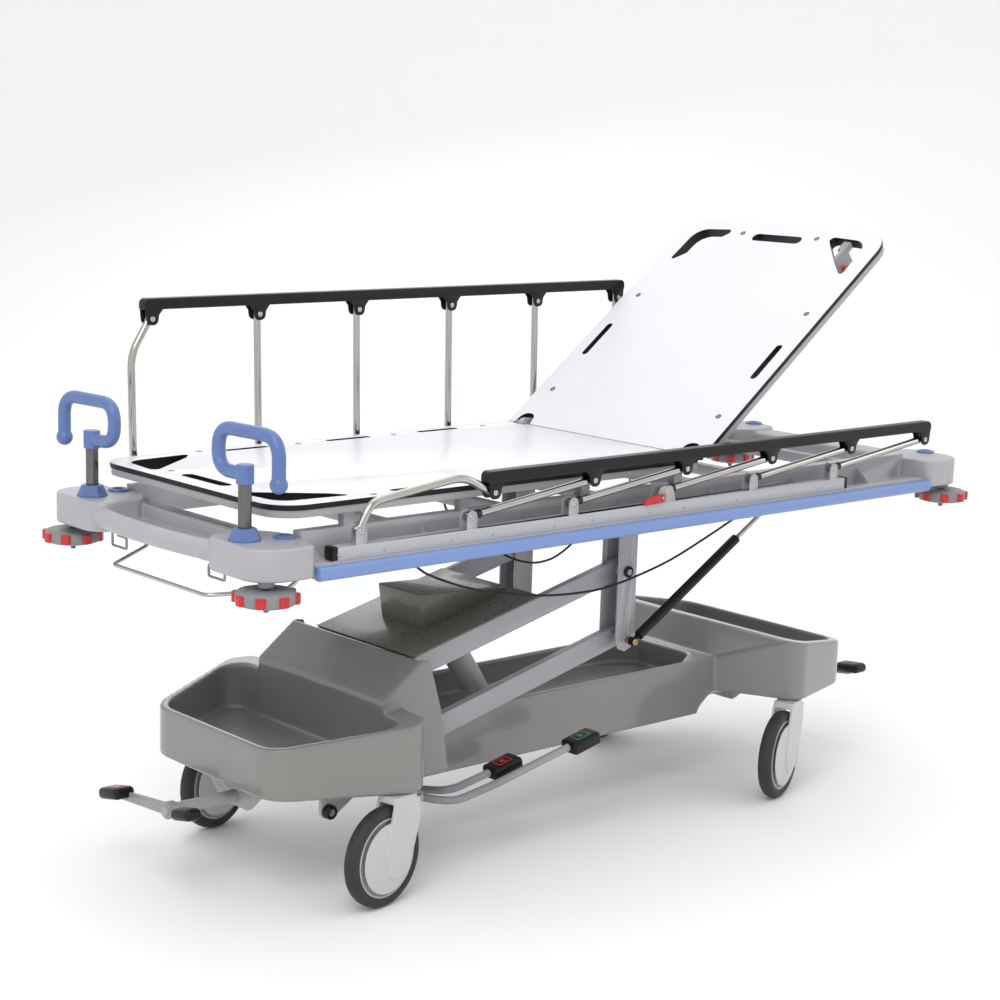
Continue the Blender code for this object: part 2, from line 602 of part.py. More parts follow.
def strut(name, foot, head, barrel_radius, barrel_share, rod_radius, eye_radius, looks, hole=None):
    """A telescopic strut: barrel with an eye at the foot, rod with an eye at the head."""
    along = (head - foot).normalized()
    length = (head - foot).length
    across = Vector((0.0, 0.005, 0.0))
    barrel_end = foot + along * length * barrel_share
    eye = rod(foot - across, foot + across, eye_radius)
    neck = rod(foot, foot + along * (eye_radius + 0.014), rod_radius * 1.15, 12)
    body = rod(foot + along * (eye_radius + 0.010), barrel_end, barrel_radius, 12)
    bore = rod(foot + along * (eye_radius + 0.030), barrel_end + along * 0.01, rod_radius + 0.0006)
    cutters = [bore]
    if hole:
        cutters.append(rod(foot - across * 2, foot + across * 2, hole, 12))
    finish(cut(union([body, neck, eye]), cutters), f"{name}_barrel", looks[0], foot)
    inner = foot + along * length * (barrel_share * 0.45)
    tip = union([rod(inner, head - along * 0.002, rod_radius, 10),
                 rod(head - across, head + across, eye_radius * 0.9)])
    finish(tip, f"{name}_rod", looks[1], head)


def pump():
    """Hydraulic pump: a thick barrel on the chassis and the ram that lifts the arms."""
    along = (PUMP_HEAD - PUMP_FOOT).normalized()
    body = rod(PUMP_FOOT + along * 0.026, PUMP_FOOT + along * 0.215, 0.029, 16)
    lug = rod(PUMP_FOOT, PUMP_FOOT + along * 0.03, 0.012, 12)
    pin = rod(PUMP_FOOT + Vector((0, -0.056, 0)), PUMP_FOOT + Vector((0, 0.056, 0)), 0.0080)
    bore = rod(PUMP_FOOT + along * 0.10, PUMP_FOOT + along * 0.23, 0.0132, 12)
    finish(cut(union([body, lug, pin]), [bore]), "pump_barrel", "white", PUMP_FOOT)
    ram = union([rod(PUMP_FOOT + along * 0.150, PUMP_HEAD, 0.0120, 12),
                 rod(PUMP_HEAD + Vector((0, -0.015, 0)), PUMP_HEAD + Vector((0, 0.015, 0)), 0.0130)])
    finish(ram, "pump_ram", "chrome", PUMP_HEAD)


# Top frame ------------------------------------------------------------------------------
def top_frame():
    pieces = []
    cross = (-0.840, -0.550, -0.245, 0.320, 0.505, 0.840)
    outriggers = (-0.810, -0.590, -0.325, -0.060, 0.205, 0.470, 0.700, 0.835)
    for side in (-1, 1):
        pieces.append(box((FRAME_FOOT_X, side * (BEAM_Y - 0.0125), BEAM_LOW),
                          (FRAME_HEAD_X, side * (BEAM_Y + 0.0125), BEAM_HIGH)))
        pieces.append(box((OUTER_FOOT_X, side * (OUTER_TUBE_Y - 0.0135), OUTER_LOW),
                          (OUTER_HEAD_X, side * (OUTER_TUBE_Y + 0.013), OUTER_HIGH)))
        for x in outriggers:
            pieces.append(box((x - 0.012, side * BEAM_Y, BEAM_LOW + 0.001),
                              (x + 0.012, side * OUTER_TUBE_Y, OUTER_HIGH - 0.001)))
        for x in outriggers[1:7]:
            gusset = [(side * BEAM_Y, 0.752), (side * 0.336, OUTER_HIGH - 0.002),
                      (side * BEAM_Y, OUTER_HIGH - 0.002)]
            pieces.append(plate([gusset], x - 0.0015, x + 0.0015, YZ))
        hanger = rounded([(TILT_AXIS.x - 0.035, 0.712), (TILT_AXIS.x - 0.026, 0.674, 0.02),
                          (TILT_AXIS.x + 0.026, 0.674, 0.02), (TILT_AXIS.x + 0.035, 0.712)])
        pieces.append(plate([hanger], side * 0.2615, side * 0.2735, XZ))
        for x in (-0.760, -0.480, -0.160, 0.110):
            pieces.append(box((x - 0.012, side * 0.288 - 0.009, BEAM_HIGH - 0.001),
                              (x + 0.012, side * 0.288 + 0.009, DECK_TOP - DECK_THICK - TRAY_DEPTH - GAP)))
    for x in cross:
        pieces.append(box((x - 0.0125, -BEAM_Y, BEAM_LOW + 0.0005), (x + 0.0125, BEAM_Y, 0.725)))
    # lug beside the tilt spring's upper eye, and lug beside the back spring's foot
    lug = rounded([(0.493, 0.715), (0.493, 0.652, 0.011), (0.517, 0.652, 0.011), (0.517, 0.715)])
    pieces.append(plate([lug], -0.2080, -0.2040, XZ))
    foot = BACK_SPRING_FOOT
    saddle = rounded([(-0.255, 0.712), (-0.225, 0.712), (foot.x + 0.012, foot.z + 0.012, 0.011),
                      (foot.x - 0.012, foot.z + 0.012, 0.011)])
    pieces.append(plate([saddle], 0.1060, 0.1100, XZ))
    pieces.append(rod(foot + Vector((0, -0.0045, 0)), foot + Vector((0, 0.008, 0)), 0.0040, 12))
    frame = union(pieces)
    bores = [bore(TILT_AXIS + Vector((0, side * 0.25, 0)), TILT_AXIS + Vector((0, side * 0.2710, 0)),
                  0.0129) for side in (-1, 1)]
    finish(cut(frame, bores), "top_frame", "frame_grey", TILT_AXIS)


def corner_block(end, side):
    """Rounded block over a frame corner; the outer corner follows the bumper roller."""
    if end < 0:
        outline = [(-1.012, 0.188, 0.020), (-1.012, 0.375, 0.060), (-0.885, 0.373, 0.014),
                   (-0.885, 0.322, 0.002), (-0.870, 0.295, 0.002), (-0.870, 0.232, 0.020),
                   (-0.905, 0.188, 0.020)]
    else:
        outline = [(1.005, 0.205, 0.020), (1.005, 0.375, 0.040), (0.872, 0.373, 0.014),
                   (0.872, 0.322, 0.002), (0.866, 0.300, 0.002), (0.866, 0.232, 0.020), (0.905, 0.205, 0.020)]
    outline = [(x, side * y, r) for x, y, r in outline]
    return bevelled(plate([rounded(outline)], 0.690, 0.750), 0.008, 1, 40.0)


def bumper_bolt(end, side):
    x, y = end * HALF_BUMPER_X, side * HALF_BUMPER_Y
    return [rod((x, y, 0.6380), (x, y, 0.7000), 0.0060, 8),
            rod((x, y, 0.6345), (x, y, 0.6440), 0.0100, 6),
            rod((x, y, 0.6760), (x, y, 0.7000), 0.0150, 10)]


def end_mouldings():
    grip = [(-0.988, -0.200, 0.722), (-1.003, -0.100, 0.722), (-1.009, 0.0, 0.722),
            (-1.003, 0.100, 0.722), (-0.988, 0.200, 0.722)]
    pieces = [corner_block(-1, -1), corner_block(-1, 1), tube(grip, 0.019, 2)]
    floor_outline = [(-0.995, -0.21), (-0.871, -0.21), (-0.871, 0.21), (-0.995, 0.21)]
    windows = [rounded([(-0.976, side * 0.020, 0.012), (-0.925, side * 0.020, 0.012),
                        (-0.925, side * 0.180, 0.012), (-0.976, side * 0.180, 0.012)])
               for side in (-1, 1)]
    pieces.append(plate([floor_outline] + windows, 0.6985, 0.7085))
    pieces.append(box((-0.902, -0.215, 0.6985), (-0.888, 0.215, 0.738)))
    for side in (-1, 1):
        pieces += bumper_bolt(-1, side)
    bores = [bore((HANDLE_X, side * HANDLE_Y, 0.60), (HANDLE_X, side * HANDLE_Y, 0.80), 0.0129)
             for side in (-1, 1)]
    finish(cut(union(pieces), bores), "foot_end_moulding", "moulding")

    pieces = [corner_block(1, -1), corner_block(1, 1),
              bevelled(box((0.905, -0.25, 0.700), (0.985, 0.25, 0.744)), 0.008, 1)]
    for side in (-1, 1):
        pieces += bumper_bolt(1, side)
    finish(union(pieces), "head_end_moulding", "moulding")


def bumpers():
    """Rollers on the four corners with eight raised pads each."""
    outline = []
    for k in range(8):
        facing = Matrix.Rotation(math.radians(45 * k), 2)
        root = BUMPER_RADIUS - 0.0009
        for u, v in ((root, -0.0115), (BUMPER_PAD_RADIUS, -0.0085), (BUMPER_PAD_RADIUS, 0.0085),
                     (root, 0.0115)):
            outline.append(tuple(facing @ Vector((u, v))))
    bore = [tuple(Matrix.Rotation(math.radians(36 * k), 2) @ Vector((0.0072, 0))) for k in range(10)]
    star = plate([outline, bore], 0.6455, 0.6750)
    first = None
    for end, name in ((-1, "foot"), (1, "head")):
        for side, hand in ((-1, "right"), (1, "left")):
            place = (end * HALF_BUMPER_X, side * HALF_BUMPER_Y, 0.0)
            if first is None:
                first = finish(star, f"bumper_roller_{name}_{hand}", "bumper_grey")
                first.location = place
            else:
                twin(first, f"bumper_roller_{name}_{hand}", place)


def edge_strips():
    for side, hand in ((-1, "right"), (1, "left")):
        face = OUTER_TUBE_Y + 0.013 + GAP
        profile = [(side * face, 0.683), (side * (face + 0.014), 0.683), (side * (face + 0.0185), 0.688),
                   (side * (face + 0.0185), 0.703), (side * (face + 0.014), 0.708), (side * face, 0.708)]
        strip = plate([profile], OUTER_FOOT_X, OUTER_HEAD_X, YZ)
        finish(strip, f"edge_strip_{hand}", "strip_blue")


# Side rails -----------------------------------------------------------------------------
def rail_bases():
    for side, hand in ((-1, "right"), (1, "left")):
        inner, outer = RAIL_Y - 0.0125, RAIL_Y + 0.0125
        pieces = [box((-0.842, side * inner, OUTER_HIGH + GAP), (0.590, side * outer, 0.737))]
        ear = rounded([(-0.0125, 0.735), (-0.0125, RAIL_PIVOT_Z + 0.0125, 0.0118),
                       (0.0125, RAIL_PIVOT_Z + 0.0125, 0.0118), (0.0125, 0.735)], 2)
        for i in range(RAIL_POSTS):
            x = RAIL_FIRST_X + i * RAIL_PITCH
            outline = [(x + u, v) for u, v in ear]
            if i == 3:
                wide = rounded([(-0.034, 0.735), (-0.020, RAIL_PIVOT_Z + 0.0115, 0.01),
                                (0.014, RAIL_PIVOT_Z + 0.0115, 0.01), (0.026, 0.735)], 2)
                outline = [(x + u, v) for u, v in wide]
            pieces.append(plate([outline], side * (RAIL_Y - 0.0120), side * (RAIL_Y - 0.0090), XZ))
            pieces.append(plate([outline], side * (RAIL_Y + 0.0090), side * (RAIL_Y + 0.0120), XZ))
            pieces.append(rod((x, side * (RAIL_Y - 0.0105), RAIL_PIVOT_Z),
                              (x, side * (RAIL_Y + 0.0105), RAIL_PIVOT_Z), 0.0040, 8))
        x = RAIL_FIRST_X + 3 * RAIL_PITCH - 0.020
        pieces.append(rod((x, side * (RAIL_Y + 0.010), 0.749), (x, side * (RAIL_Y + 0.0205), 0.749),
                          0.0035, 10))
        finish(union(pieces), f"rail_base_{hand}", "frame_grey")


def rail_post_mesh(bend):
    """A post along +X from its lower pivot; the foot-end post is cranked outward."""
    reach = 0.0085
    if bend:
        crank = [(-reach, 0, 0), (0.004, 0, 0.002), (0.034, 0, 0.046), (0.255, 0, 0.046),
                 (RAIL_LENGTH - 0.006, 0, 0.004), (RAIL_LENGTH + reach, 0, 0)]
        body = tube(bent(crank, 0.03, 3), 0.0080)
    else:
        body = rod((-reach, 0, 0), (RAIL_LENGTH + reach, 0, 0), 0.0080, 8)
    holes = [rod((x, -0.02, 0), (x, 0.02, 0), 0.0046, 8) for x in (0.0, RAIL_LENGTH)]
    return cut(body, holes)


def rail_tops(pose, hand, side):
    """Top bar with six lugs, each holding the upper end of a post on a rivet."""
    first = Vector((RAIL_FIRST_X + RAIL_LENGTH * math.cos(pose), side * RAIL_Y,
                    RAIL_PIVOT_Z + RAIL_LENGTH * math.sin(pose)))
    span = RAIL_PITCH * (RAIL_POSTS - 1)
    bar_side = rounded([(-0.019, RAIL_BAR_LOW), (-0.019, RAIL_BAR_HIGH, 0.012),
                        (span + 0.019, RAIL_BAR_HIGH, 0.012), (span + 0.019, RAIL_BAR_LOW)])
    pieces = [plate([bar_side], -0.0125, 0.0125, XZ)]
    for i in range(RAIL_POSTS):
        x = i * RAIL_PITCH
        left = 0.028 if i > 0 else 0.0165
        right = 0.028 if i < RAIL_POSTS - 1 else 0.0165
        lug = rounded([(x - left, RAIL_BAR_LOW + 0.002), (x - 0.013, RAIL_BAR_LOW - 0.012),
                       (x - 0.0125, -0.0125, 0.0118), (x + 0.0125, -0.0125, 0.0118),
                       (x + 0.013, RAIL_BAR_LOW - 0.012), (x + right, RAIL_BAR_LOW + 0.002)], 2)
        for low, high in ((-0.0122, -0.0092), (0.0092, 0.0122)):
            pieces.append(plate([lug], low, high, XZ))
        pieces.append(rod((x, -0.0107, 0), (x, 0.0107, 0), 0.0038, 8))
    bar = union(pieces)
    move(bar, Matrix.Translation(first))
    finish(bar, f"rail_top_{hand}", "black", first)


def side_rails():
    straight = finish(rail_post_mesh(False), "straight_post", "chrome")
    cranked = finish(rail_post_mesh(True), "cranked_post", "chrome")
    for side, hand, pose in ((-1, "right", RAIL_FOLDED), (1, "left", RAIL_RAISED)):
        for i in range(RAIL_POSTS):
            source = cranked if i == 0 else straight
            post = bpy.data.objects.new(f"rail_post_{hand}_{i + 1}", source.data)
            post.location = (RAIL_FIRST_X + i * RAIL_PITCH, side * RAIL_Y, RAIL_PIVOT_Z)
            post.rotation_euler = (0.0, -pose, 0.0)
            PARTS.objects.link(post)
        rail_tops(pose, hand, side)
        # release latch beside the fourth post
        pivot = Vector((RAIL_FIRST_X + 3 * RAIL_PITCH - 0.020, side * (RAIL_Y + 0.0160), 0.749))
        lever = rounded([(0.011, 0.007, 0.006), (0.008, -0.009, 0.006), (-0.052, -0.012, 0.006),
                         (-0.056, 0.000, 0.006), (-0.010, 0.009, 0.006)], 2)
        outline = [(pivot.x + u, pivot.z + v) for u, v in lever]
        hole = rod(pivot + Vector((0, -0.01, 0)), pivot + Vector((0, 0.01, 0)), 0.0038, 10)
        low, high = sorted((side * (RAIL_Y + 0.0135), side * (RAIL_Y + 0.0190)))
        finish(cut(plate([outline], low, high, XZ), [hole]), f"rail_latch_{hand}", "red", pivot)
    bpy.data.objects.remove(straight, do_unlink=True)
    bpy.data.objects.remove(cranked, do_unlink=True)


# Deck and backrest ----------------------------------------------------------------------
def rounded_triangle(corners, radius):
    return rounded([(x, y, radius) for x, y in corners], 3)


def deck():
    board = rounded(mirrored([(DECK_FOOT_X, 0.0), (DECK_FOOT_X, DECK_HALF_WIDTH, 0.068),
                              (HINGE_X - GAP, DECK_HALF_WIDTH), (HINGE_X - GAP, 0.2820),
                              (HINGE_X - 0.0115, 0.2820), (HINGE_X - 0.0115, 0.2420),
                              (HINGE_X - GAP, 0.2420), (HINGE_X - GAP, 0.0)]), 5)
    holes = [slot_outline(-0.062, 0.062, 0.0, 0.0135)]
    holes = [[(y - 0.876, x) for x, y in outline] for outline in holes]
    for side in (-1, 1):
        for start, end in ((-0.648, -0.538), (-0.385, -0.267), (-0.131, -0.017)):
            holes.append(slot_outline(start + 0.008, end - 0.008, side * 0.2765, 0.0085))
        corner = [(-0.905, side * 0.135), (-0.893, side * 0.262), (-0.735, side * 0.276),
                  (-0.765, side * 0.240)]
        holes.append(rounded([(*corner[0], 0.012), (*corner[1], 0.040), (*corner[2], 0.007),
                              (*corner[3], 0.030)], 3))
    finish(plate([board] + holes, DECK_TOP - DECK_THICK, DECK_TOP), "deck_board", "laminate")

    low, high = DECK_TOP - DECK_THICK - TRAY_DEPTH, DECK_TOP - DECK_THICK - GAP
    inset = 0.003
    outer = rounded(mirrored([(DECK_FOOT_X + inset, 0.0),
                              (DECK_FOOT_X + inset, DECK_HALF_WIDTH - inset, 0.065),
                              (HINGE_X - 0.013, DECK_HALF_WIDTH - inset), (HINGE_X - 0.013, 0.0)]), 5)
    inner = rounded(mirrored([(DECK_FOOT_X + 0.022, 0.0), (DECK_FOOT_X + 0.022, 0.2870, 0.045),
                              (HINGE_X - 0.030, 0.2870), (HINGE_X - 0.030, 0.0)]), 3)
    pieces = [plate([outer, inner], low, high)]
    for x in (-0.700, -0.460, -0.200, 0.060):
        pieces.append(box((x - 0.012, -0.29, low + 0.0005), (x + 0.012, 0.29, high - 0.0005)))
    for side in (-1, 1):
        for y in (0.2488, 0.2685):
            knuckle = rounded([(HINGE_X - 0.028, low + 0.001), (HINGE_X - 0.028, high - 0.001),
                               (HINGE_X - 0.0105, high - 0.001), (HINGE_X - 0.0105, DECK_TOP + 0.007, 0.006),
                               (HINGE_X + 0.0100, DECK_TOP + 0.007, 0.008),
                               (HINGE_X + 0.0080, low + 0.001, 0.006)], 2)
            pieces.append(plate([knuckle], side * y, side * (y + 0.0037), XZ))
        pieces.append(rod((HINGE_X, side * 0.2510, DECK_TOP), (HINGE_X, side * 0.2700, DECK_TOP), 0.0035, 8))
    frame = union(pieces)
    finish(frame, "deck_frame", "frame_grey")


def backrest():
    """Board and frame, built flat with the hinge line at X = 0 and then turned up."""
    raise_up = Matrix.Translation((HINGE_X, 0.0, DECK_TOP)) @ Matrix.Rotation(-BACKREST_ANGLE, 4, "Y")
    pivot = (HINGE_X, 0.0, DECK_TOP)
    half, length = BACKREST_HALF_WIDTH, BACKREST_LENGTH
    board = rounded(mirrored([(0.0012, 0.0), (0.0012, 0.236), (0.034, 0.243, 0.02), (0.034, 0.281, 0.02),
                              (0.0012, 0.288), (0.0012, half), (length, half, 0.068), (length, 0.0)]), 5)
    handle = [(y + 0.7005, x) for x, y in slot_outline(-0.062, 0.062, 0.0, 0.0125)]
    holes = [handle]
    for side in (-1, 1):
        holes.append(slot_outline(0.252, 0.348, side * 0.2650, 0.0085))
        corner = [(0.590, side * 0.266, 0.007), (0.714, side * 0.262, 0.040), (0.722, side * 0.140, 0.010),
                  (0.640, side * 0.215, 0.045)]
        holes.append(rounded(corner, 3))
    finish(move(plate([board] + holes, -DECK_THICK, 0.0), raise_up), "backrest_board", "laminate", pivot)

    low, high = -DECK_THICK - TRAY_DEPTH, -DECK_THICK - GAP
    outer = rounded(mirrored([(0.022, 0.0), (0.022, half - 0.003), (length - 0.003, half - 0.003, 0.065),
                              (length - 0.003, 0.0)]), 5)
    inner = rounded(mirrored([(0.044, 0.0), (0.044, 0.2830), (length - 0.024, 0.2830, 0.045),
                              (length - 0.024, 0.0)]), 3)
    pieces = [plate([outer, inner], low, high)]
    for x in (0.185, 0.430, 0.560):
        pieces.append(box((x - 0.012, -0.29, low + 0.0005), (x + 0.012, 0.29, high - 0.0005)))
    tongue = rounded([(-0.0085, -0.008, 0.007), (-0.0085, 0.0075, 0.007), (0.0080, 0.0075, 0.005),
                      (0.024, high - 0.001), (0.040, high - 0.001), (0.040, low + 0.001),
                      (0.006, low + 0.001)], 2)
    bore = [tuple(Matrix.Rotation(math.radians(45 * k), 2) @ Vector((0.0041, 0))) for k in range(8)]
    for side in (-1, 1):
        pieces.append(plate([tongue, bore], side * 0.2540, side * 0.2670, XZ))
    # lever for the gas spring, and the block that carries the release handle
    n = -BACK_SPRING_LEVER
    lever = rounded([(0.024, low + 0.004), (-0.011, n - 0.011, 0.010), (0.011, n - 0.011, 0.010),
                     (0.050, low + 0.004)], 2)
    pieces.append(plate([lever], 0.1080, 0.1130, XZ))
    pieces.append(box((0.648, -0.206, low - 0.030), (0.700, -0.196, high - 0.002)))
    pieces.append(box((0.690, -0.206, low + 0.001), (0.735, -0.186, high - 0.002)))
    pieces.append(rod((0.660, -0.200, low - 0.018), (0.660, -0.2270, low - 0.018), 0.0040, 12))
    frame = union(pieces)
    finish(move(frame, raise_up), "backrest_frame", "frame_grey", pivot)

    grip = rounded([(-0.012, 0.010, 0.008), (-0.012, -0.008, 0.006), (0.046, -0.018, 0.007),
                    (0.052, -0.004, 0.007), (0.010, 0.012, 0.008)], 2)
    grip = [(0.660 - u * 0.55 + v * 0.6, low - 0.018 - u * 0.8) for u, v in grip]
    handle = plate([grip], -0.2250, -0.2120, XZ)
    hole = rod((0.660, -0.23, low - 0.018), (0.660, -0.20, low - 0.018), 0.0043, 12)
    axis = raise_up @ Vector((0.660, -0.2185, low - 0.018))
    finish(move(cut(handle, [hole]), raise_up), "backrest_release", "red", axis)


# Push handles, cables and rack ----------------------------------------------------------
def push_handles():
    """Grips bent from one tube; each turns about its post and stands a little askew."""
    for side, hand, lift in ((-1, "right", -0.003), (1, "left", -0.010)):
        inner, outer = -side * 0.0745, side * 0.0920
        path = [(0, 0, 0.8725), (0, inner, 0.8725), (0, inner, 0.950), (0, outer, 0.950),
                (0, outer, 0.8655)]
        grip = tube(bent(path, 0.040, 3), 0.0130, 2)
        bm = bmesh.new()
        bmesh.ops.create_uvsphere(bm, u_segments=10, v_segments=6, radius=0.0165)
        bmesh.ops.translate(bm, vec=(0, outer, 0.8655), verts=bm.verts)
        ball = from_bmesh(bm)
        sleeve = rod((0, 0, 0.8545), (0, 0, 0.8905), 0.0165, 12)
        post = rod((0, 0, 0.6980), (0, 0, 0.8600), 0.0125, 12)
        handle = union([grip, ball, sleeve, post])
        place = Matrix.Translation((HANDLE_X, side * HANDLE_Y, lift))
        place = place @ Matrix.Rotation(math.radians(5), 4, "Z")
        finish(move(handle, place), f"push_handle_{hand}", "blue", (HANDLE_X, side * HANDLE_Y, 0.8545 + lift))


def smooth_route(points, count):
    """Even points along a Catmull-Rom curve through the route's own points."""
    points = [Vector(p) for p in points]
    points = [points[0] * 2 - points[1]] + points + [points[-1] * 2 - points[-2]]
    dense = []
    for a, b, c, d in zip(points, points[1:], points[2:], points[3:]):
        for k in range(16):
            t = k / 16
            dense.append(0.5 * (2 * b + (c - a) * t + (2 * a - 5 * b + 4 * c - d) * t * t
                                + (3 * b - a - 3 * c + d) * t ** 3))
    dense.append(points[-2])
    lengths = [0.0]
    for a, b in zip(dense, dense[1:]):
        lengths.append(lengths[-1] + (b - a).length)
    result = []
    at = 0
    for k in range(count):
        wanted = lengths[-1] * k / (count - 1)
        while at < len(dense) - 2 and lengths[at + 1] < wanted:
            at += 1
        step = lengths[at + 1] - lengths[at]
        result.append(dense[at].lerp(dense[at + 1], (wanted - lengths[at]) / step))
    return result


# Bowden cables, each hanging in one bow under the top frame and clipped up at both ends.
TILT_CABLE = [(-0.560, -0.225, 0.6985), (-0.560, -0.225, 0.688), (-0.537, -0.225, 0.641),
              (-0.453, -0.225, 0.601), (-0.349, -0.225, 0.569), (-0.212, -0.225, 0.544),
              (-0.089, -0.225, 0.535), (0.010, -0.225, 0.540), (0.159, -0.225, 0.570),
              (0.282, -0.225, 0.611), (0.376, -0.225, 0.646), (0.450, -0.225, 0.669),
              (0.500, -0.225, 0.688), (0.502, -0.225, 0.6975)]
BACK_CABLE = [(-0.240, 0.050, 0.6985), (-0.238, 0.050, 0.688), (-0.180, 0.050, 0.635),
              (-0.120, 0.050, 0.593), (-0.070, 0.050, 0.567), (-0.022, 0.050, 0.547),
              (0.023, 0.050, 0.536), (0.060, 0.050, 0.536), (0.093, 0.050, 0.543),
              (0.138, 0.050, 0.565), (0.210, 0.050, 0.615), (0.290, 0.050, 0.668),
              (0.316, 0.050, 0.688), (0.318, 0.050, 0.6975)]


def cables():
    for name, route in (("tilt_cable", TILT_CABLE), ("backrest_cable", BACK_CABLE)):
        finish(tube(smooth_route(route, 28), 0.0025, 2), name, "black")


def rack():
    """Bent rod loop under the push bar."""
    path = [(-0.828, 0.250, 0.6993), (-0.835, 0.247, 0.660), (-0.860, 0.240, 0.640),
            (-0.985, 0.160, 0.631), (-0.985, -0.160, 0.631), (-0.860, -0.240, 0.640),
            (-0.835, -0.247, 0.660), (-0.828, -0.250, 0.6993)]
    finish(tube(bent(path, 0.012, 2), 0.0040, 2), "rod_rack", "chrome")


base_cover()
chassis_frame()
castors()
brake_shaft()
pump_pedals()
lift_arms()
lift_cover()
lift_posts()
pump()
strut("tilt_spring", TILT_SPRING_FOOT, TILT_SPRING_HEAD, 0.0110, 0.735, 0.0050, 0.0100,
      ("black", "chrome"), hole=0.0062)
top_frame()
end_mouldings()
bumpers()
edge_strips()
rail_bases()
side_rails()
deck()
backrest()
HINGE = Vector((HINGE_X, 0.0, DECK_TOP))
LEVER_TIP = (HINGE + Matrix.Rotation(-BACKREST_ANGLE, 3, "Y") @ Vector((0, 0, -BACK_SPRING_LEVER))
             + Vector((0, 0.100, 0)))
strut("back_spring", BACK_SPRING_FOOT, LEVER_TIP, 0.0100, 0.62, 0.0045, 0.0085,
      ("black", "chrome"), hole=0.0044)
push_handles()
cables()
rack()
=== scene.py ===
"""Looks of the hydraulic stretcher trolley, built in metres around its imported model."""

import json
import math

import bmesh
import bpy
from mathutils import Matrix, Vector


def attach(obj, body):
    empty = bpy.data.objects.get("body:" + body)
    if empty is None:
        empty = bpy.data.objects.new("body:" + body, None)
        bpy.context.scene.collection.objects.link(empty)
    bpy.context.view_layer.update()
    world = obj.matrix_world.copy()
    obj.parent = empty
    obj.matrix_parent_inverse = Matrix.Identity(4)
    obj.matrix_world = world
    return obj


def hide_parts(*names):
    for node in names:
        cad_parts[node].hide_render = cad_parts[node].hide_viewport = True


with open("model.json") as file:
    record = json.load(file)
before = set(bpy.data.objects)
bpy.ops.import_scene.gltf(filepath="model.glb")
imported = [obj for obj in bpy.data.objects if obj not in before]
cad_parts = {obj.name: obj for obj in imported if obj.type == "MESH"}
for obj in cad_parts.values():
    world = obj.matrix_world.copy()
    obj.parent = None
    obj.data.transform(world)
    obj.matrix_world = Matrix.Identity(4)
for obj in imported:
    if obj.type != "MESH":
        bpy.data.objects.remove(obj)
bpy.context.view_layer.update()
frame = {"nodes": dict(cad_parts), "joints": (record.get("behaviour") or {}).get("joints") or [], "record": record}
NODES = frame["nodes"]
JOINTS = {j["name"]: j for j in frame["joints"]}
BODY_OF = {node: body for body, nodes in frame["record"]["behaviour"]["bodies"].items() for node in nodes}
HANDS = ((-1, "right"), (1, "left"))
TURN_X = Matrix.Rotation(math.radians(90), 4, "X")      # local Z to -Y
TURN_Y = Matrix.Rotation(math.radians(90), 4, "Y")      # local Z to +X
AT = Matrix.Translation


# Camera -----------------------------------------------------------------------------------
def make_camera():
    """One long lens, low and to the foot end of the near side."""
    yaw, pitch, roll = (math.radians(a) for a in (49.2551, -11.4479, 1.5738))
    forward = Vector((math.cos(yaw) * math.cos(pitch), math.sin(yaw) * math.cos(pitch), math.sin(pitch)))
    right = forward.cross(Vector((0, 0, 1))).normalized()
    up = right.cross(forward)
    right, up = (math.cos(roll) * right + math.sin(roll) * up,
                 -math.sin(roll) * right + math.cos(roll) * up)
    data = bpy.data.cameras.new("camera")
    data.sensor_width = 36.0
    data.lens = 75.18
    data.shift_x = 0.0371
    data.shift_y = 0.0430
    camera = bpy.data.objects.new("camera", data)
    place = Matrix((right, up, -forward)).transposed().to_4x4()
    place.translation = (-3.06048, -3.28880, 1.49620)
    camera.matrix_world = place
    bpy.context.scene.collection.objects.link(camera)
    bpy.context.scene.camera = camera


make_camera()


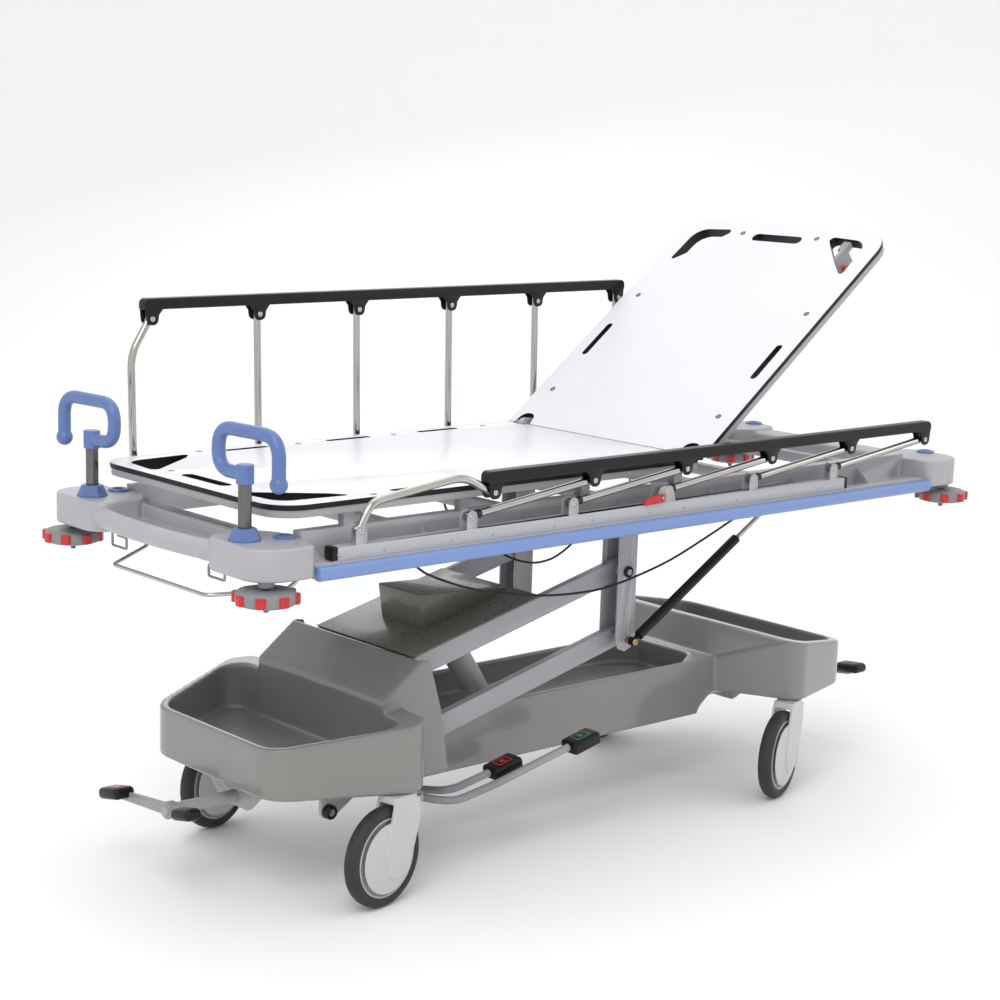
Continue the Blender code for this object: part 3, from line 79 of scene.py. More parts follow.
# Materials --------------------------------------------------------------------------------
def surface(name, colour, rough, metallic=0.0, vary=0.05, scale=14.0, grain=900.0, bump=0.1,
            coat=0.0, stretch=(1.0, 1.0, 1.0), wear=None, specular=0.5):
    """A paint, plastic or metal with drifting colour and gloss, and a fine surface grain."""
    material = bpy.data.materials.new(name)
    material.use_nodes = True
    tree = material.node_tree
    shader = tree.nodes["Principled BSDF"]
    shader.inputs["Metallic"].default_value = metallic
    shader.inputs["Coat Weight"].default_value = coat
    shader.inputs["Coat Roughness"].default_value = 0.08
    shader.inputs["Specular IOR Level"].default_value = specular
    coord = tree.nodes.new("ShaderNodeTexCoord")
    mapping = tree.nodes.new("ShaderNodeMapping")
    mapping.inputs["Scale"].default_value = stretch
    tree.links.new(coord.outputs["Object"], mapping.inputs["Vector"])
    noises = []
    for size, detail in ((scale, 4.0), (scale * 9.0, 3.0), (grain, 2.0)):
        noise = tree.nodes.new("ShaderNodeTexNoise")
        noise.inputs["Scale"].default_value = size
        noise.inputs["Detail"].default_value = detail
        tree.links.new(mapping.outputs["Vector"], noise.inputs["Vector"])
        noises.append(noise)
    ramp = tree.nodes.new("ShaderNodeValToRGB")
    for stop, place, factor in ((0, 0.3, 1.0 - vary), (1, 0.7, 1.0 + vary)):
        ramp.color_ramp.elements[stop].position = place
        ramp.color_ramp.elements[stop].color = (*[min(c * factor, 1.0) for c in colour], 1.0)
    tree.links.new(noises[0].outputs["Fac"], ramp.inputs["Fac"])
    out = ramp.outputs["Color"]
    if wear:
        edges = tree.nodes.new("ShaderNodeNewGeometry")
        sharp = tree.nodes.new("ShaderNodeMapRange")
        sharp.inputs["From Min"].default_value = 0.515
        sharp.inputs["From Max"].default_value = 0.60
        tree.links.new(edges.outputs["Pointiness"], sharp.inputs["Value"])
        mix = tree.nodes.new("ShaderNodeMix")
        mix.data_type = "RGBA"
        mix.inputs[7].default_value = (*wear, 1.0)
        tree.links.new(sharp.outputs["Result"], mix.inputs[0])
        tree.links.new(out, mix.inputs[6])
        out = mix.outputs[2]
    tree.links.new(out, shader.inputs["Base Color"])
    gloss = tree.nodes.new("ShaderNodeMapRange")
    gloss.inputs["To Min"].default_value = rough * 0.85
    gloss.inputs["To Max"].default_value = min(rough * 1.18, 1.0)
    tree.links.new(noises[1].outputs["Fac"], gloss.inputs["Value"])
    tree.links.new(gloss.outputs["Result"], shader.inputs["Roughness"])
    relief = tree.nodes.new("ShaderNodeBump")
    relief.inputs["Strength"].default_value = bump
    relief.inputs["Distance"].default_value = 0.0004
    tree.links.new(noises[2].outputs["Fac"], relief.inputs["Height"])
    tree.links.new(relief.outputs["Normal"], shader.inputs["Normal"])
    return material


LOOKS = {
    "base_grey": surface("base_gloss", (0.212, 0.208, 0.197), 0.25, vary=0.012, scale=3.0, bump=0.0,
                         coat=0.5),
    "frame_grey": surface("powder_coat", (0.335, 0.335, 0.360), 0.40, vary=0.03, bump=0.12, grain=1500.0,
                          coat=0.15, wear=(0.46, 0.46, 0.48)),
    "moulding": surface("moulded_block", (0.390, 0.390, 0.418), 0.38, vary=0.03, bump=0.08, grain=1300.0,
                        coat=0.1),
    "laminate": surface("laminate", (0.735, 0.735, 0.780), 0.34, vary=0.012, bump=0.02, scale=5.0, coat=0.1),
    "blue": surface("blue_grip", (0.100, 0.165, 0.385), 0.36, vary=0.06, bump=0.14, grain=1100.0, coat=0.1),
    "strip_blue": surface("blue_strip", (0.180, 0.275, 0.560), 0.34, vary=0.04, bump=0.05,
                          stretch=(0.15, 1.0, 1.0)),
    "black": surface("black_plastic", (0.0055, 0.0055, 0.006), 0.36, vary=0.12, bump=0.18, grain=1200.0,
                     specular=0.32),
    "chrome": surface("chrome", (0.50, 0.475, 0.445), 0.17, metallic=1.0, vary=0.05, bump=0.02),
    "steel": surface("grey_enamel", (0.235, 0.238, 0.255), 0.36, vary=0.05, bump=0.10, coat=0.15,
                     wear=(0.36, 0.36, 0.37)),
    "olive": surface("olive_enamel", (0.122, 0.124, 0.100), 0.28, vary=0.02, bump=0.0, coat=0.25),
    "castor_grey": surface("castor_shell", (0.545, 0.525, 0.530), 0.30, vary=0.02, bump=0.04, coat=0.2),
    "tyre": surface("tyre_rubber", (0.030, 0.030, 0.033), 0.55, vary=0.14, bump=0.25, grain=700.0,
                    specular=0.35),
    "bumper_grey": surface("bumper_body", (0.225, 0.232, 0.238), 0.45, vary=0.05, bump=0.12),
    "red": surface("red_plastic", (0.52, 0.006, 0.008), 0.28, vary=0.08, bump=0.05, coat=0.25),
    "white": surface("white_enamel", (0.50, 0.50, 0.51), 0.30, vary=0.03, bump=0.04),
}
CORE = surface("black_core", (0.006, 0.006, 0.007), 0.42, vary=0.10, bump=0.12, specular=0.3)
GREEN = surface("green_mark", (0.006, 0.20, 0.055), 0.35, vary=0.05, bump=0.05)
DARK_STEEL = surface("dark_post_steel", (0.150, 0.148, 0.142), 0.25, metallic=0.8, vary=0.08, bump=0.03,
                     stretch=(1.0, 1.0, 0.2))
BRASS = surface("bolt_brass", (0.42, 0.30, 0.12), 0.28, metallic=1.0, vary=0.08, bump=0.05)
for row in frame["record"]["subparts"]:
    obj = NODES[row["node"]]
    obj.data.materials.clear()
    obj.data.materials.append(LOOKS[row["material_slot"]])


# Building blocks --------------------------------------------------------------------------
def piece(name, bm, body, slot, nodes=(), material=None, sharp=38.0):
    """Turns a bmesh into a named piece that rides on a body."""
    bmesh.ops.remove_doubles(bm, verts=bm.verts, dist=0.00001)
    bmesh.ops.recalc_face_normals(bm, faces=bm.faces)
    mesh = bpy.data.meshes.new(name)
    bm.to_mesh(mesh)
    bm.free()
    materials = material if isinstance(material, (list, tuple)) else [material or LOOKS[slot]]
    for m in materials:
        mesh.materials.append(m)
    mesh.shade_smooth()
    mesh.set_sharp_from_angle(angle=math.radians(sharp))
    obj = bpy.data.objects.new(name, mesh)
    bpy.context.scene.collection.objects.link(obj)
    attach(obj, body)
    if nodes:
        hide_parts(*nodes)
    return obj


def merge(*meshes):
    """One bmesh out of several."""
    result = meshes[0]
    for bm in meshes[1:]:
        scratch = bpy.data.meshes.new("scratch")
        bm.to_mesh(scratch)
        bm.free()
        result.from_mesh(scratch)
        bpy.data.meshes.remove(scratch)
    return result


def moved(bm, matrix):
    """The mesh after a matrix."""
    bmesh.ops.transform(bm, matrix=matrix, verts=bm.verts)
    return bm


def lathe(profile, sides=40, matrix=None, closed=False):
    """Turns (radius, z) points about Z. An end on the axis closes to a point."""
    bm = bmesh.new()
    rings = []
    for radius, z in profile:
        if radius < 0.00001:
            rings.append([bm.verts.new((0, 0, z))])
        else:
            rings.append([bm.verts.new((radius * math.cos(2 * math.pi * k / sides),
                                        radius * math.sin(2 * math.pi * k / sides), z))
                          for k in range(sides)])
    pairs = list(zip(rings, rings[1:])) + ([(rings[-1], rings[0])] if closed else [])
    for low, high in pairs:
        for k in range(sides):
            corners = [low[k % len(low)], low[(k + 1) % len(low)], high[(k + 1) % len(high)],
                       high[k % len(high)]]
            unique = list(dict.fromkeys(corners))
            if len(unique) > 2:
                bm.faces.new(unique)
    if not closed:
        for ring in (rings[0], rings[-1]):
            if len(ring) > 1:
                bm.faces.new(ring)
    return moved(bm, matrix) if matrix else bm


def sweep(points, radius, sides=20, ends=None):
    """A round tube through points. ends = (length, factor) flattens both ends across Y."""
    points = [Vector(p) for p in points]
    bm = bmesh.new()
    travel = [0.0]
    for a, b in zip(points, points[1:]):
        travel.append(travel[-1] + (b - a).length)
    rings = []
    across = None
    for k, p in enumerate(points):
        ahead = (points[min(k + 1, len(points) - 1)] - points[max(k - 1, 0)]).normalized()
        if across is None:
            across = Vector((0, 1, 0)) if abs(ahead.y) < 0.9 else Vector((0, 0, 1))
        across = (across - ahead * across.dot(ahead)).normalized()
        other = ahead.cross(across)
        flat = 1.0
        if ends:
            near = min(travel[k], travel[-1] - travel[k])
            blend = min(max(near / ends[0] - 0.6, 0.0) / 0.4, 1.0)
            flat = ends[1] + (1.0 - ends[1]) * blend * blend * (3 - 2 * blend)
        rings.append([bm.verts.new(p + across * radius * flat * math.cos(2 * math.pi * s / sides)
                                   + other * radius * math.sin(2 * math.pi * s / sides))
                      for s in range(sides)])
    for low, high in zip(rings, rings[1:]):
        for s in range(sides):
            bm.faces.new((low[s], low[(s + 1) % sides], high[(s + 1) % sides], high[s]))
    bm.faces.new(rings[0])
    bm.faces.new(rings[-1])
    return bm


def bent(corners, radius, steps=8):
    """A polyline with each inner corner turned into an arc-like bend."""
    corners = [Vector(c) for c in corners]
    result = [corners[0]]
    for before, corner, after in zip(corners, corners[1:], corners[2:]):
        back, on = before - corner, after - corner
        reach = min(radius, back.length * 0.49, on.length * 0.49)
        start, end = corner + back.normalized() * reach, corner + on.normalized() * reach
        for k in range(steps + 1):
            t = k / steps
            result.append(start * (1 - t) ** 2 + corner * 2 * t * (1 - t) + end * t * t)
    result.append(corners[-1])
    return result


def rounded(corners, steps=6):
    """A 2D outline; a corner (x, y, r) gets a round of about that radius."""
    result = []
    count = len(corners)
    for k, corner in enumerate(corners):
        p = Vector(corner[:2])
        r = corner[2] if len(corner) > 2 else 0.0
        if r <= 0.0:
            result.append((p.x, p.y))
            continue
        back = Vector(corners[k - 1][:2]) - p
        on = Vector(corners[(k + 1) % count][:2]) - p
        angle = back.angle(on)
        reach = min(r / math.tan(angle / 2), back.length * 0.49, on.length * 0.49)
        radius = reach * math.tan(angle / 2)
        centre = p + (back.normalized() + on.normalized()).normalized() * radius / math.sin(angle / 2)
        start, end = p + back.normalized() * reach, p + on.normalized() * reach
        a = math.atan2(start.y - centre.y, start.x - centre.x)
        turn = math.atan2(end.y - centre.y, end.x - centre.x) - a
        turn = (turn + math.pi) % (2 * math.pi) - math.pi
        for s in range(steps + 1):
            at = a + turn * s / steps
            result.append((centre.x + radius * math.cos(at), centre.y + radius * math.sin(at)))
    return result


def slot_outline(start, end, y, half, steps=6):
    """A slot along X with round ends."""
    result = []
    for centre, first in ((end, -90.0), (start, 90.0)):
        for k in range(steps + 1):
            a = math.radians(first + 180.0 * k / steps)
            result.append((centre + half * math.cos(a), y + half * math.sin(a)))
    return result


def mirrored(half):
    """Half an outline with y >= 0, completed with its mirror image."""
    return half + [(c[0], -c[1], *c[2:]) for c in reversed(half) if abs(c[1]) > 0.00001]


def rim_bevel(bm, width, steps, angle=35.0):
    """Rounds the convex edges of a bmesh."""
    bm.normal_update()
    edges = [e for e in bm.edges if e.is_manifold and e.is_convex
             and e.calc_face_angle(0.0) > math.radians(angle)]
    bmesh.ops.bevel(bm, geom=edges, offset=width, segments=steps, profile=0.5, affect="EDGES",
                    clamp_overlap=True)
    return bm


def plate(outlines, low, high, width=0.0, steps=2, plane="XY"):
    """A flat plate with holes; the first outline is its edge."""
    curve = bpy.data.curves.new("plate", "CURVE")
    curve.dimensions = "2D"
    curve.fill_mode = "BOTH"
    curve.extrude = (high - low) / 2
    for outline in outlines:
        spline = curve.splines.new("POLY")
        spline.points.add(len(outline) - 1)
        for point, (x, y) in zip(spline.points, outline):
            point.co = (x, y, 0.0, 1.0)
        spline.use_cyclic_u = True
    scratch = bpy.data.objects.new("plate", curve)
    bpy.context.scene.collection.objects.link(scratch)
    mesh = bpy.data.meshes.new_from_object(scratch.evaluated_get(bpy.context.evaluated_depsgraph_get()))
    bpy.data.objects.remove(scratch)
    bm = bmesh.new()
    bm.from_mesh(mesh)
    bmesh.ops.remove_doubles(bm, verts=bm.verts, dist=0.00001)
    bmesh.ops.recalc_face_normals(bm, faces=bm.faces)
    bmesh.ops.dissolve_limit(bm, angle_limit=math.radians(0.2), verts=bm.verts, edges=bm.edges)
    if width:
        rim_bevel(bm, width, steps)
    middle = (low + high) / 2
    if plane == "XZ":
        return moved(bm, Matrix(((1, 0, 0, 0), (0, 0, 1, middle), (0, 1, 0, 0), (0, 0, 0, 1))))
    if plane == "YZ":
        return moved(bm, Matrix(((0, 0, 1, middle), (1, 0, 0, 0), (0, 1, 0, 0), (0, 0, 0, 1))))
    return moved(bm, AT((0, 0, middle)))


def block(low, high, width=0.002, steps=3):
    """A box with rounded edges."""
    bm = bmesh.new()
    size = [b - a for a, b in zip(low, high)]
    middle = [(a + b) / 2 for a, b in zip(low, high)]
    bmesh.ops.create_cube(bm, size=1.0, matrix=AT(middle) @ Matrix.Diagonal((*size, 1.0)))
    return rim_bevel(bm, width, steps) if width else bm


def cad(node, width=0.0, steps=2, angle=35.0):
    """A CAD node's own shape, with its convex edges rounded."""
    bm = bmesh.new()
    bm.from_mesh(NODES[node].data)
    bmesh.ops.remove_doubles(bm, verts=bm.verts, dist=0.00002)
    bmesh.ops.dissolve_limit(bm, angle_limit=math.radians(0.5), verts=bm.verts, edges=bm.edges)
    return rim_bevel(bm, width, steps, angle) if width else bm


def moulded(bm, voxel, rounds):
    """Melts overlapping solids into one smooth moulded form."""
    mesh = bpy.data.meshes.new("melt")
    bm.to_mesh(mesh)
    bm.free()
    scratch = bpy.data.objects.new("melt", mesh)
    bpy.context.scene.collection.objects.link(scratch)
    remesh = scratch.modifiers.new("remesh", "REMESH")
    remesh.mode = "VOXEL"
    remesh.voxel_size = voxel
    soften = scratch.modifiers.new("soften", "SMOOTH")
    soften.factor = 0.5
    soften.iterations = rounds
    result = bpy.data.meshes.new_from_object(scratch.evaluated_get(bpy.context.evaluated_depsgraph_get()))
    bpy.data.objects.remove(scratch)
    out = bmesh.new()
    out.from_mesh(result)
    return out


def bolt_head(centre, axis, radius=0.008, height=0.004):
    """A cap screw with a round socket; axis points out of the surface."""
    r, h = radius, height
    bm = lathe([(0.0, 0.0), (r, 0.0), (r, h * 0.72), (r * 0.88, h), (r * 0.5, h), (r * 0.46, h * 0.35),
                (0.0, h * 0.3)], 24)
    turn = Vector((0, 0, 1)).rotation_difference(Vector(axis)).to_matrix().to_4x4()
    return moved(bm, AT(centre) @ turn)


def rivet(centre, axis, radius=0.005, height=0.002):
    """A domed rivet head."""
    points = [(radius * math.cos(a), height * math.sin(a)) for a in [k * math.pi / 12 for k in range(6)]]
    bm = lathe([(0.0, 0.0)] + points + [(0.0, height)], 20)
    turn = Vector((0, 0, 1)).rotation_difference(Vector(axis)).to_matrix().to_4x4()
    return moved(bm, AT(centre) @ turn)


# Base -------------------------------------------------------------------------------------
BACK_WALL = [(-0.6045, 0.250), (-0.6045, 0.372), (-0.512, 0.4440), (-0.505, 0.4345), (-0.5925, 0.366),
             (-0.5925, 0.250)]
shell = merge(cad("base_cover"), plate([BACK_WALL], -0.210, 0.210, plane="XZ"))
BASE_VOXEL = 0.0032         # fine enough to keep the basin's thin walls
BASE_ROUNDS = 14            # more rounds than this collapse them
piece("base_cover_shell", moulded(shell, BASE_VOXEL, BASE_ROUNDS), "chassis", "base_grey",
      ["base_cover"], sharp=180.0)
for node in ("chassis_frame", "upper_lift_arms", "lower_lift_arms", "lift_posts", "lift_cover"):
    widths = {"chassis_frame": 0.0012, "lift_cover": 0.0045}
    piece(f"{node}_fine", cad(node, widths.get(node, 0.0020), 3), BODY_OF[node],
          "olive" if node == "lift_cover" else "frame_grey", [node])


POST_X = 0.078              # the arms' pivots in the lift posts
SPRING_FOOT_Z = 0.4037


def pivot_fixings():
    """Bolt heads and black washers on the lift posts, and the ring in the bush bracket."""
    washers = None
    heads = None
    for s in (-1, 1):
        for z, r in ((0.553, 0.0125), (0.4042, 0.0115)):
            if s < 0 and z < 0.5:
                continue
            washer = lathe([(0.0070, 0.0), (r, 0.0), (r, 0.0040), (r - 0.0015, 0.0055), (0.0070, 0.0055)],
                           32, closed=True)
            face = AT((POST_X, s * 0.1925, z)) @ Matrix.Rotation(-s * math.pi / 2, 4, "X")
            washer = moved(washer, face)
            head = bolt_head((POST_X, s * 0.1925, z), (0, s, 0), 0.0070, 0.0065)
            washers = merge(washers, washer) if washers else washer
            heads = merge(heads, head) if heads else head
    piece("post_washers", washers, "posts", "black")
    piece("post_bolts", heads, "posts", "steel")
    piece("spring_stud", merge(lathe([(0.0, 0.192), (0.0085, 0.192), (0.0085, 0.2000), (0.0060, 0.2060),
                                      (0.0, 0.2060)], 6, AT((POST_X, 0, SPRING_FOOT_Z)) @ TURN_X),
                               bolt_head((POST_X, -0.2215, SPRING_FOOT_Z), (0, -1, 0), 0.0075, 0.0040)),
          "posts", "steel", material=BRASS, sharp=30.0)
    ring = lathe([(0.0070, 0.0), (0.0138, 0.0), (0.0142, 0.0010), (0.0142, 0.0170), (0.0120, 0.0200),
                  (0.0085, 0.0200), (0.0070, 0.0190)], 36, AT((-0.747, -0.2225, 0.188)) @ TURN_X, closed=True)
    piece("bush_ring", ring, "chassis", "black")


pivot_fixings()


# Castors ----------------------------------------------------------------------------------
def castor(tag):
    """One castor: a moulded fork, a tyre on a dished hub, and the axle bolts."""
    swivel, roll = JOINTS[f"swivel_{tag}"], JOINTS[f"roll_{tag}"]
    heading = math.atan2(-roll["axis"][0], roll["axis"][1])
    stem = Vector((swivel["pos_m"][0], swivel["pos_m"][1], 0.0))
    fork_place = AT(stem) @ Matrix.Rotation(heading, 4, "Z")
    axle = Vector((-0.050, 0.0, 0.100))
    leg = rounded([(0.034, 0.2075, 0.004), (0.036, 0.165, 0.05), (0.004, 0.062, 0.017),
                   (-0.048, 0.050, 0.020), (-0.062, 0.110, 0.05), (-0.040, 0.2075, 0.004)])
    crown = rounded([(-0.040, -0.0242, 0.006), (0.034, -0.0242, 0.020), (0.034, 0.0242, 0.020),
                     (-0.040, 0.0242, 0.006)])
    discs = [lathe([(0.0, 0.0176), (0.0700, 0.0176), (0.0714, 0.0184), (0.0690, 0.0196), (0.0400, 0.0206),
                    (0.0, 0.0210)][::1], 64, AT(axle) @ Matrix.Rotation(s * math.pi / 2, 4, "X"))
             for s in (-1, 1)]
    shell = merge(*discs, plate([crown], 0.2035, 0.2180),
                  plate([leg], 0.0180, 0.0242, plane="XZ"), plate([leg], -0.0242, -0.0180, plane="XZ"))
    shell = moulded(shell, 0.0014, 5)
    piece(f"castor_shell_{tag}", moved(shell, fork_place), f"castor_{tag}", "castor_grey",
          [f"castor_fork_{tag}"], sharp=180.0)
    fixings = merge(lathe([(0.0, 0.2165), (0.015, 0.2165), (0.0165, 0.2185), (0.0165, 0.222),
                           (0.0110, 0.2235), (0.0098, 0.2245), (0.0098, 0.2440), (0.0, 0.2440)], 32),
                    lathe([(0.0, -0.0180), (0.0058, -0.0180), (0.0058, 0.0180), (0.0, 0.0180)], 24,
                          AT(axle) @ TURN_X))
    piece(f"castor_fixings_{tag}", moved(fixings, fork_place), f"castor_{tag}", "steel")

    w = 0.0160
    wheel_place = fork_place @ AT(axle) @ TURN_X
    tyre = [(0.0790, w * 0.80), (0.0835, w * 0.93), (0.0880, w), (0.0935, w * 0.90), (0.0974, w * 0.68),
            (0.0993, w * 0.38), (0.1000, 0.0)]
    tyre = tyre + [(r, -z) for r, z in reversed(tyre[:-1])]
    piece(f"castor_tyre_{tag}", moved(lathe(tyre, 96, closed=True), wheel_place), f"wheel_{tag}", "tyre",
          [f"castor_wheel_{tag}"], sharp=50.0)
    hub = [(0.0795, w * 0.55), (0.0795, w * 0.82), (0.0775, w * 0.90), (0.0755, w * 0.82),
           (0.0745, w * 0.60), (0.0720, w * 0.50), (0.0550, w * 0.50), (0.0350, w * 0.56),
           (0.0190, w * 0.62), (0.0175, w * 0.86), (0.0160, w * 0.92), (0.0075, w * 0.92)]
    hub = hub + [(r, -z) for r, z in reversed(hub)]
    piece(f"castor_hub_{tag}", moved(lathe(hub, 72, closed=True), wheel_place), f"wheel_{tag}",
          "castor_grey", sharp=60.0)


for corner in ("foot_right", "foot_left", "head_right", "head_left"):
    castor(corner)


# Foot controls ----------------------------------------------------------------------------
def pedals():
    """The two foot levers, their sleeves on the cross shaft, and their rubber pads."""
    routes = {
        "pedal_lower": ([(-0.490, -0.133, 0.156), (-0.450, -0.133, 0.150), (-0.410, -0.190, 0.153),
                         (-0.300, -0.206, 0.182)], "red"),
        "pedal_raise": ([(-0.490, -0.174, 0.156), (-0.465, -0.205, 0.150), (-0.430, -0.236, 0.148),
                         (-0.330, -0.245, 0.168), (-0.120, -0.250, 0.216)], "green"),
    }
    for name, (route, mark) in routes.items():
        sleeve = lathe([(0.0083, -0.0175), (0.0127, -0.0175), (0.0133, -0.0165), (0.0133, 0.0165),
                        (0.0127, 0.0175), (0.0083, 0.0175)], 32,
                       AT((-0.490, route[0][1], 0.156)) @ TURN_X, closed=True)
        lever = sweep(bent(route, 0.03), 0.0083, 20)
        piece(f"{name}_lever", merge(lever, sleeve), name, "steel", [name])
        place = AT(Vector(route[-1]) + Vector((0.020, 0, 0.004))) @ Matrix.Rotation(-0.22, 4, "Y")
        pad = block((-0.037, -0.0235, -0.0155), (0.039, 0.0235, 0.0125), 0.007, 5)
        piece(f"{name}_pad", moved(pad, place), name, "black")
        frame_mark = plate([rounded([(-0.017, -0.014, 0.003), (0.019, -0.014, 0.003), (0.019, 0.014, 0.003),
                                     (-0.017, 0.014, 0.003)]),
                            rounded([(-0.014, -0.011, 0.002), (0.016, -0.011, 0.002), (0.016, 0.011, 0.002),
                                     (-0.014, 0.011, 0.002)])], 0.0120, 0.0128, 0.0002, 1)
        tip = 1 if mark == "green" else -1
        arrow = plate([[(-0.006 * tip + 0.001, -0.008), (0.008 * tip + 0.001, 0.0),
                        (-0.006 * tip + 0.001, 0.008)][::tip]], 0.0120, 0.0134, 0.0003, 1)
        piece(f"{name}_mark", moved(merge(frame_mark, arrow), place), name,
              "red" if mark == "red" else "black",
              material=LOOKS["red"] if mark == "red" else GREEN)


def brake():
    """The long brake shaft, with a rocker and two rubber pads at each end."""
    z = 0.170
    shaft = lathe([(0.0, -0.972), (0.0115, -0.972), (0.0125, -0.9705), (0.0125, 0.9605), (0.0115, 0.962),
                   (0.0, 0.962)], 32, AT((0, 0, z)) @ TURN_Y)
    tilt = AT((0, 0, z)) @ Matrix.Rotation(math.radians(-5.4), 4, "X")
    links = []
    for end in (-1, 1):
        near, far = (-0.076, 0.178) if end < 0 else (-0.104, 0.104)
        x = end * 0.958
        outline = rounded([(near - 0.012, -0.008, 0.008), (-0.022, -0.0115, 0.03), (0.022, -0.0115, 0.03),
                           (far + 0.012, -0.008, 0.008), (far + 0.012, 0.010, 0.008), (0.022, 0.0125, 0.03),
                           (-0.022, 0.0125, 0.03), (near - 0.012, 0.010, 0.008)])
        links.append(moved(plate([outline], x - 0.0045, x + 0.0045, 0.0015, 2, "YZ"), tilt))
        links.append(moved(lathe([(0.0, -0.010), (0.0165, -0.010), (0.0175, -0.008), (0.0175, 0.008),
                                  (0.0165, 0.010), (0.0, 0.010)], 32), AT((x, 0, z)) @ TURN_Y))
        middle = x + end * 0.012
        for y, tag in ((near, "near"), (far, "far")):
            reach, half = (0.0235, 0.0355) if tag == "far" or end > 0 else (0.0185, 0.0330)
            turn = AT((middle, y, 0.007)) @ Matrix.Rotation(math.radians(-7 if end < 0 else 0), 4, "X")
            edge = 0.0095 if tag == "far" else 0.0115
            pad = moved(block((-reach, -half, -0.0118), (reach, half, 0.0118), edge, 6), turn)
            name = f"brake_pad_{'foot' if end < 0 else 'head'}_{tag}"
            piece(name, moved(pad, tilt), "brake", "black")
            if end < 0 and tag == "far":
                mark = plate([rounded([(0.0, -0.016, 0.003), (0.012, 0.0, 0.003), (0.0, 0.016, 0.003),
                                       (-0.012, 0.0, 0.003)])], 0.0115, 0.0124, 0.0002, 1)
                piece(f"{name}_mark", moved(mark, tilt @ turn), "brake", "red")
    piece("brake_link", merge(shaft, *links), "brake", "steel", ["brake_shaft"])


pedals()
brake()


# Pump and gas springs ---------------------------------------------------------------------
for node in ("pump_barrel", "pump_ram", "tilt_spring_barrel", "tilt_spring_rod", "back_spring_barrel",
             "back_spring_rod", "rail_latch_right", "rail_latch_left",
             "edge_strip_right", "edge_strip_left", "rail_base_right", "rail_base_left", "top_frame",
             "deck_frame", "backrest_frame"):
    widths = {"rail_latch_right": 0.0022, "rail_latch_left": 0.0022,
              "top_frame": 0.0018, "deck_frame": 0.0008, "backrest_frame": 0.0008,
              "rail_base_right": 0.0006, "rail_base_left": 0.0006, "edge_strip_right": 0.0015,
              "edge_strip_left": 0.0015}
    slots = {r["node"]: r["material_slot"] for r in frame["record"]["subparts"]}
    if node in widths:
        piece(f"{node}_fine", cad(node, widths[node], 3), BODY_OF[node], slots[node], [node])
    else:
        piece(f"{node}_fine", cad(node), BODY_OF[node], slots[node], [node], sharp=50.0)


# Corner blocks, push bar and bumpers ------------------------------------------------------
def corner_block(end, side):
    """A rounded block over a frame corner."""
    if end < 0:
        outline = [(-1.012, 0.178, 0.055), (-1.012, 0.375, 0.085), (-0.885, 0.374, 0.022),
                   (-0.885, 0.322, 0.002), (-0.870, 0.295, 0.004), (-0.870, 0.232, 0.030),
                   (-0.905, 0.180, 0.030)]
    else:
        outline = [(1.005, 0.200, 0.045), (1.005, 0.375, 0.065), (0.872, 0.374, 0.020),
                   (0.872, 0.322, 0.002), (0.866, 0.300, 0.004), (0.866, 0.232, 0.020),
                   (0.905, 0.200, 0.020)]
    outline = rounded([(x, side * y, r) for x, y, r in outline][::side], 14)
    return plate([outline], 0.690, 0.750, 0.011, 5)


def bumper_stem(end, side):
    """The spindle between a corner block and its bumper."""
    place = AT((end * 0.972, side * 0.335, 0.0))
    return lathe([(0.0, 0.6765), (0.0145, 0.6765), (0.0150, 0.6775), (0.0150, 0.7000), (0.0, 0.7000)],
                 32, place)


def end_shells():
    """The two moulded ends of the top frame, with caps and hooks."""
    grip = [(-0.978 - 0.031 * math.cos(math.radians(90 * k / 8)),
             0.215 * math.sin(math.radians(90 * k / 8)), 0.722)
            for k in range(-8, 9)]
    solids = [corner_block(-1, -1), corner_block(-1, 1), sweep(grip, 0.0195, 28)]
    floor = [(-0.995, -0.21), (-0.871, -0.21), (-0.871, 0.21), (-0.995, 0.21)]
    windows = [rounded([(-0.976, s * 0.020, 0.012), (-0.925, s * 0.020, 0.012), (-0.925, s * 0.180, 0.012),
                        (-0.976, s * 0.180, 0.012)]) for s in (-1, 1)]
    solids.append(plate([floor] + windows, 0.6985, 0.7085))
    solids.append(block((-0.902, -0.215, 0.6985), (-0.888, 0.215, 0.738), 0.004))
    solids += [bumper_stem(-1, -1), bumper_stem(-1, 1)]
    piece("foot_end_shell", moulded(merge(*solids), 0.0024, 12), "deck", "moulding", ["foot_end_moulding"],
          sharp=180.0)
    solids = [corner_block(1, -1), corner_block(1, 1),
              block((0.905, -0.25, 0.700), (0.985, 0.25, 0.744), 0.010, 5),
              bumper_stem(1, -1), bumper_stem(1, 1)]
    piece("head_end_shell", moulded(merge(*solids), 0.0024, 10), "deck", "moulding", ["head_end_moulding"],
          sharp=180.0)
    caps = None
    for x, y in ((-0.897, 0.284), (0.984, 0.272)):
        for s in (-1, 1):
            cap = lathe([(0.0085, 0.7485), (0.0215, 0.7485), (0.0220, 0.7500), (0.0205, 0.7540),
                         (0.0170, 0.7552), (0.0130, 0.7545), (0.0105, 0.7515), (0.0085, 0.7500)], 36,
                        AT((x, s * y, 0)), closed=True)
            caps = merge(caps, cap) if caps else cap
    piece("socket_caps", caps, "deck", "blue")
    hooks = None
    for s in (-1, 1):
        y = s * 0.195
        line = bent([(-0.965, y, 0.692), (-0.965, y, 0.662), (-0.965, y - s * 0.052, 0.662),
                     (-0.965, y - s * 0.052, 0.684), (-0.965, y - s * 0.020, 0.684)], 0.004, 5)
        hook = sweep(line, 0.0026, 12)
        hooks = merge(hooks, hook) if hooks else hook
    piece("block_hooks", hooks, "deck", "steel")


end_shells()


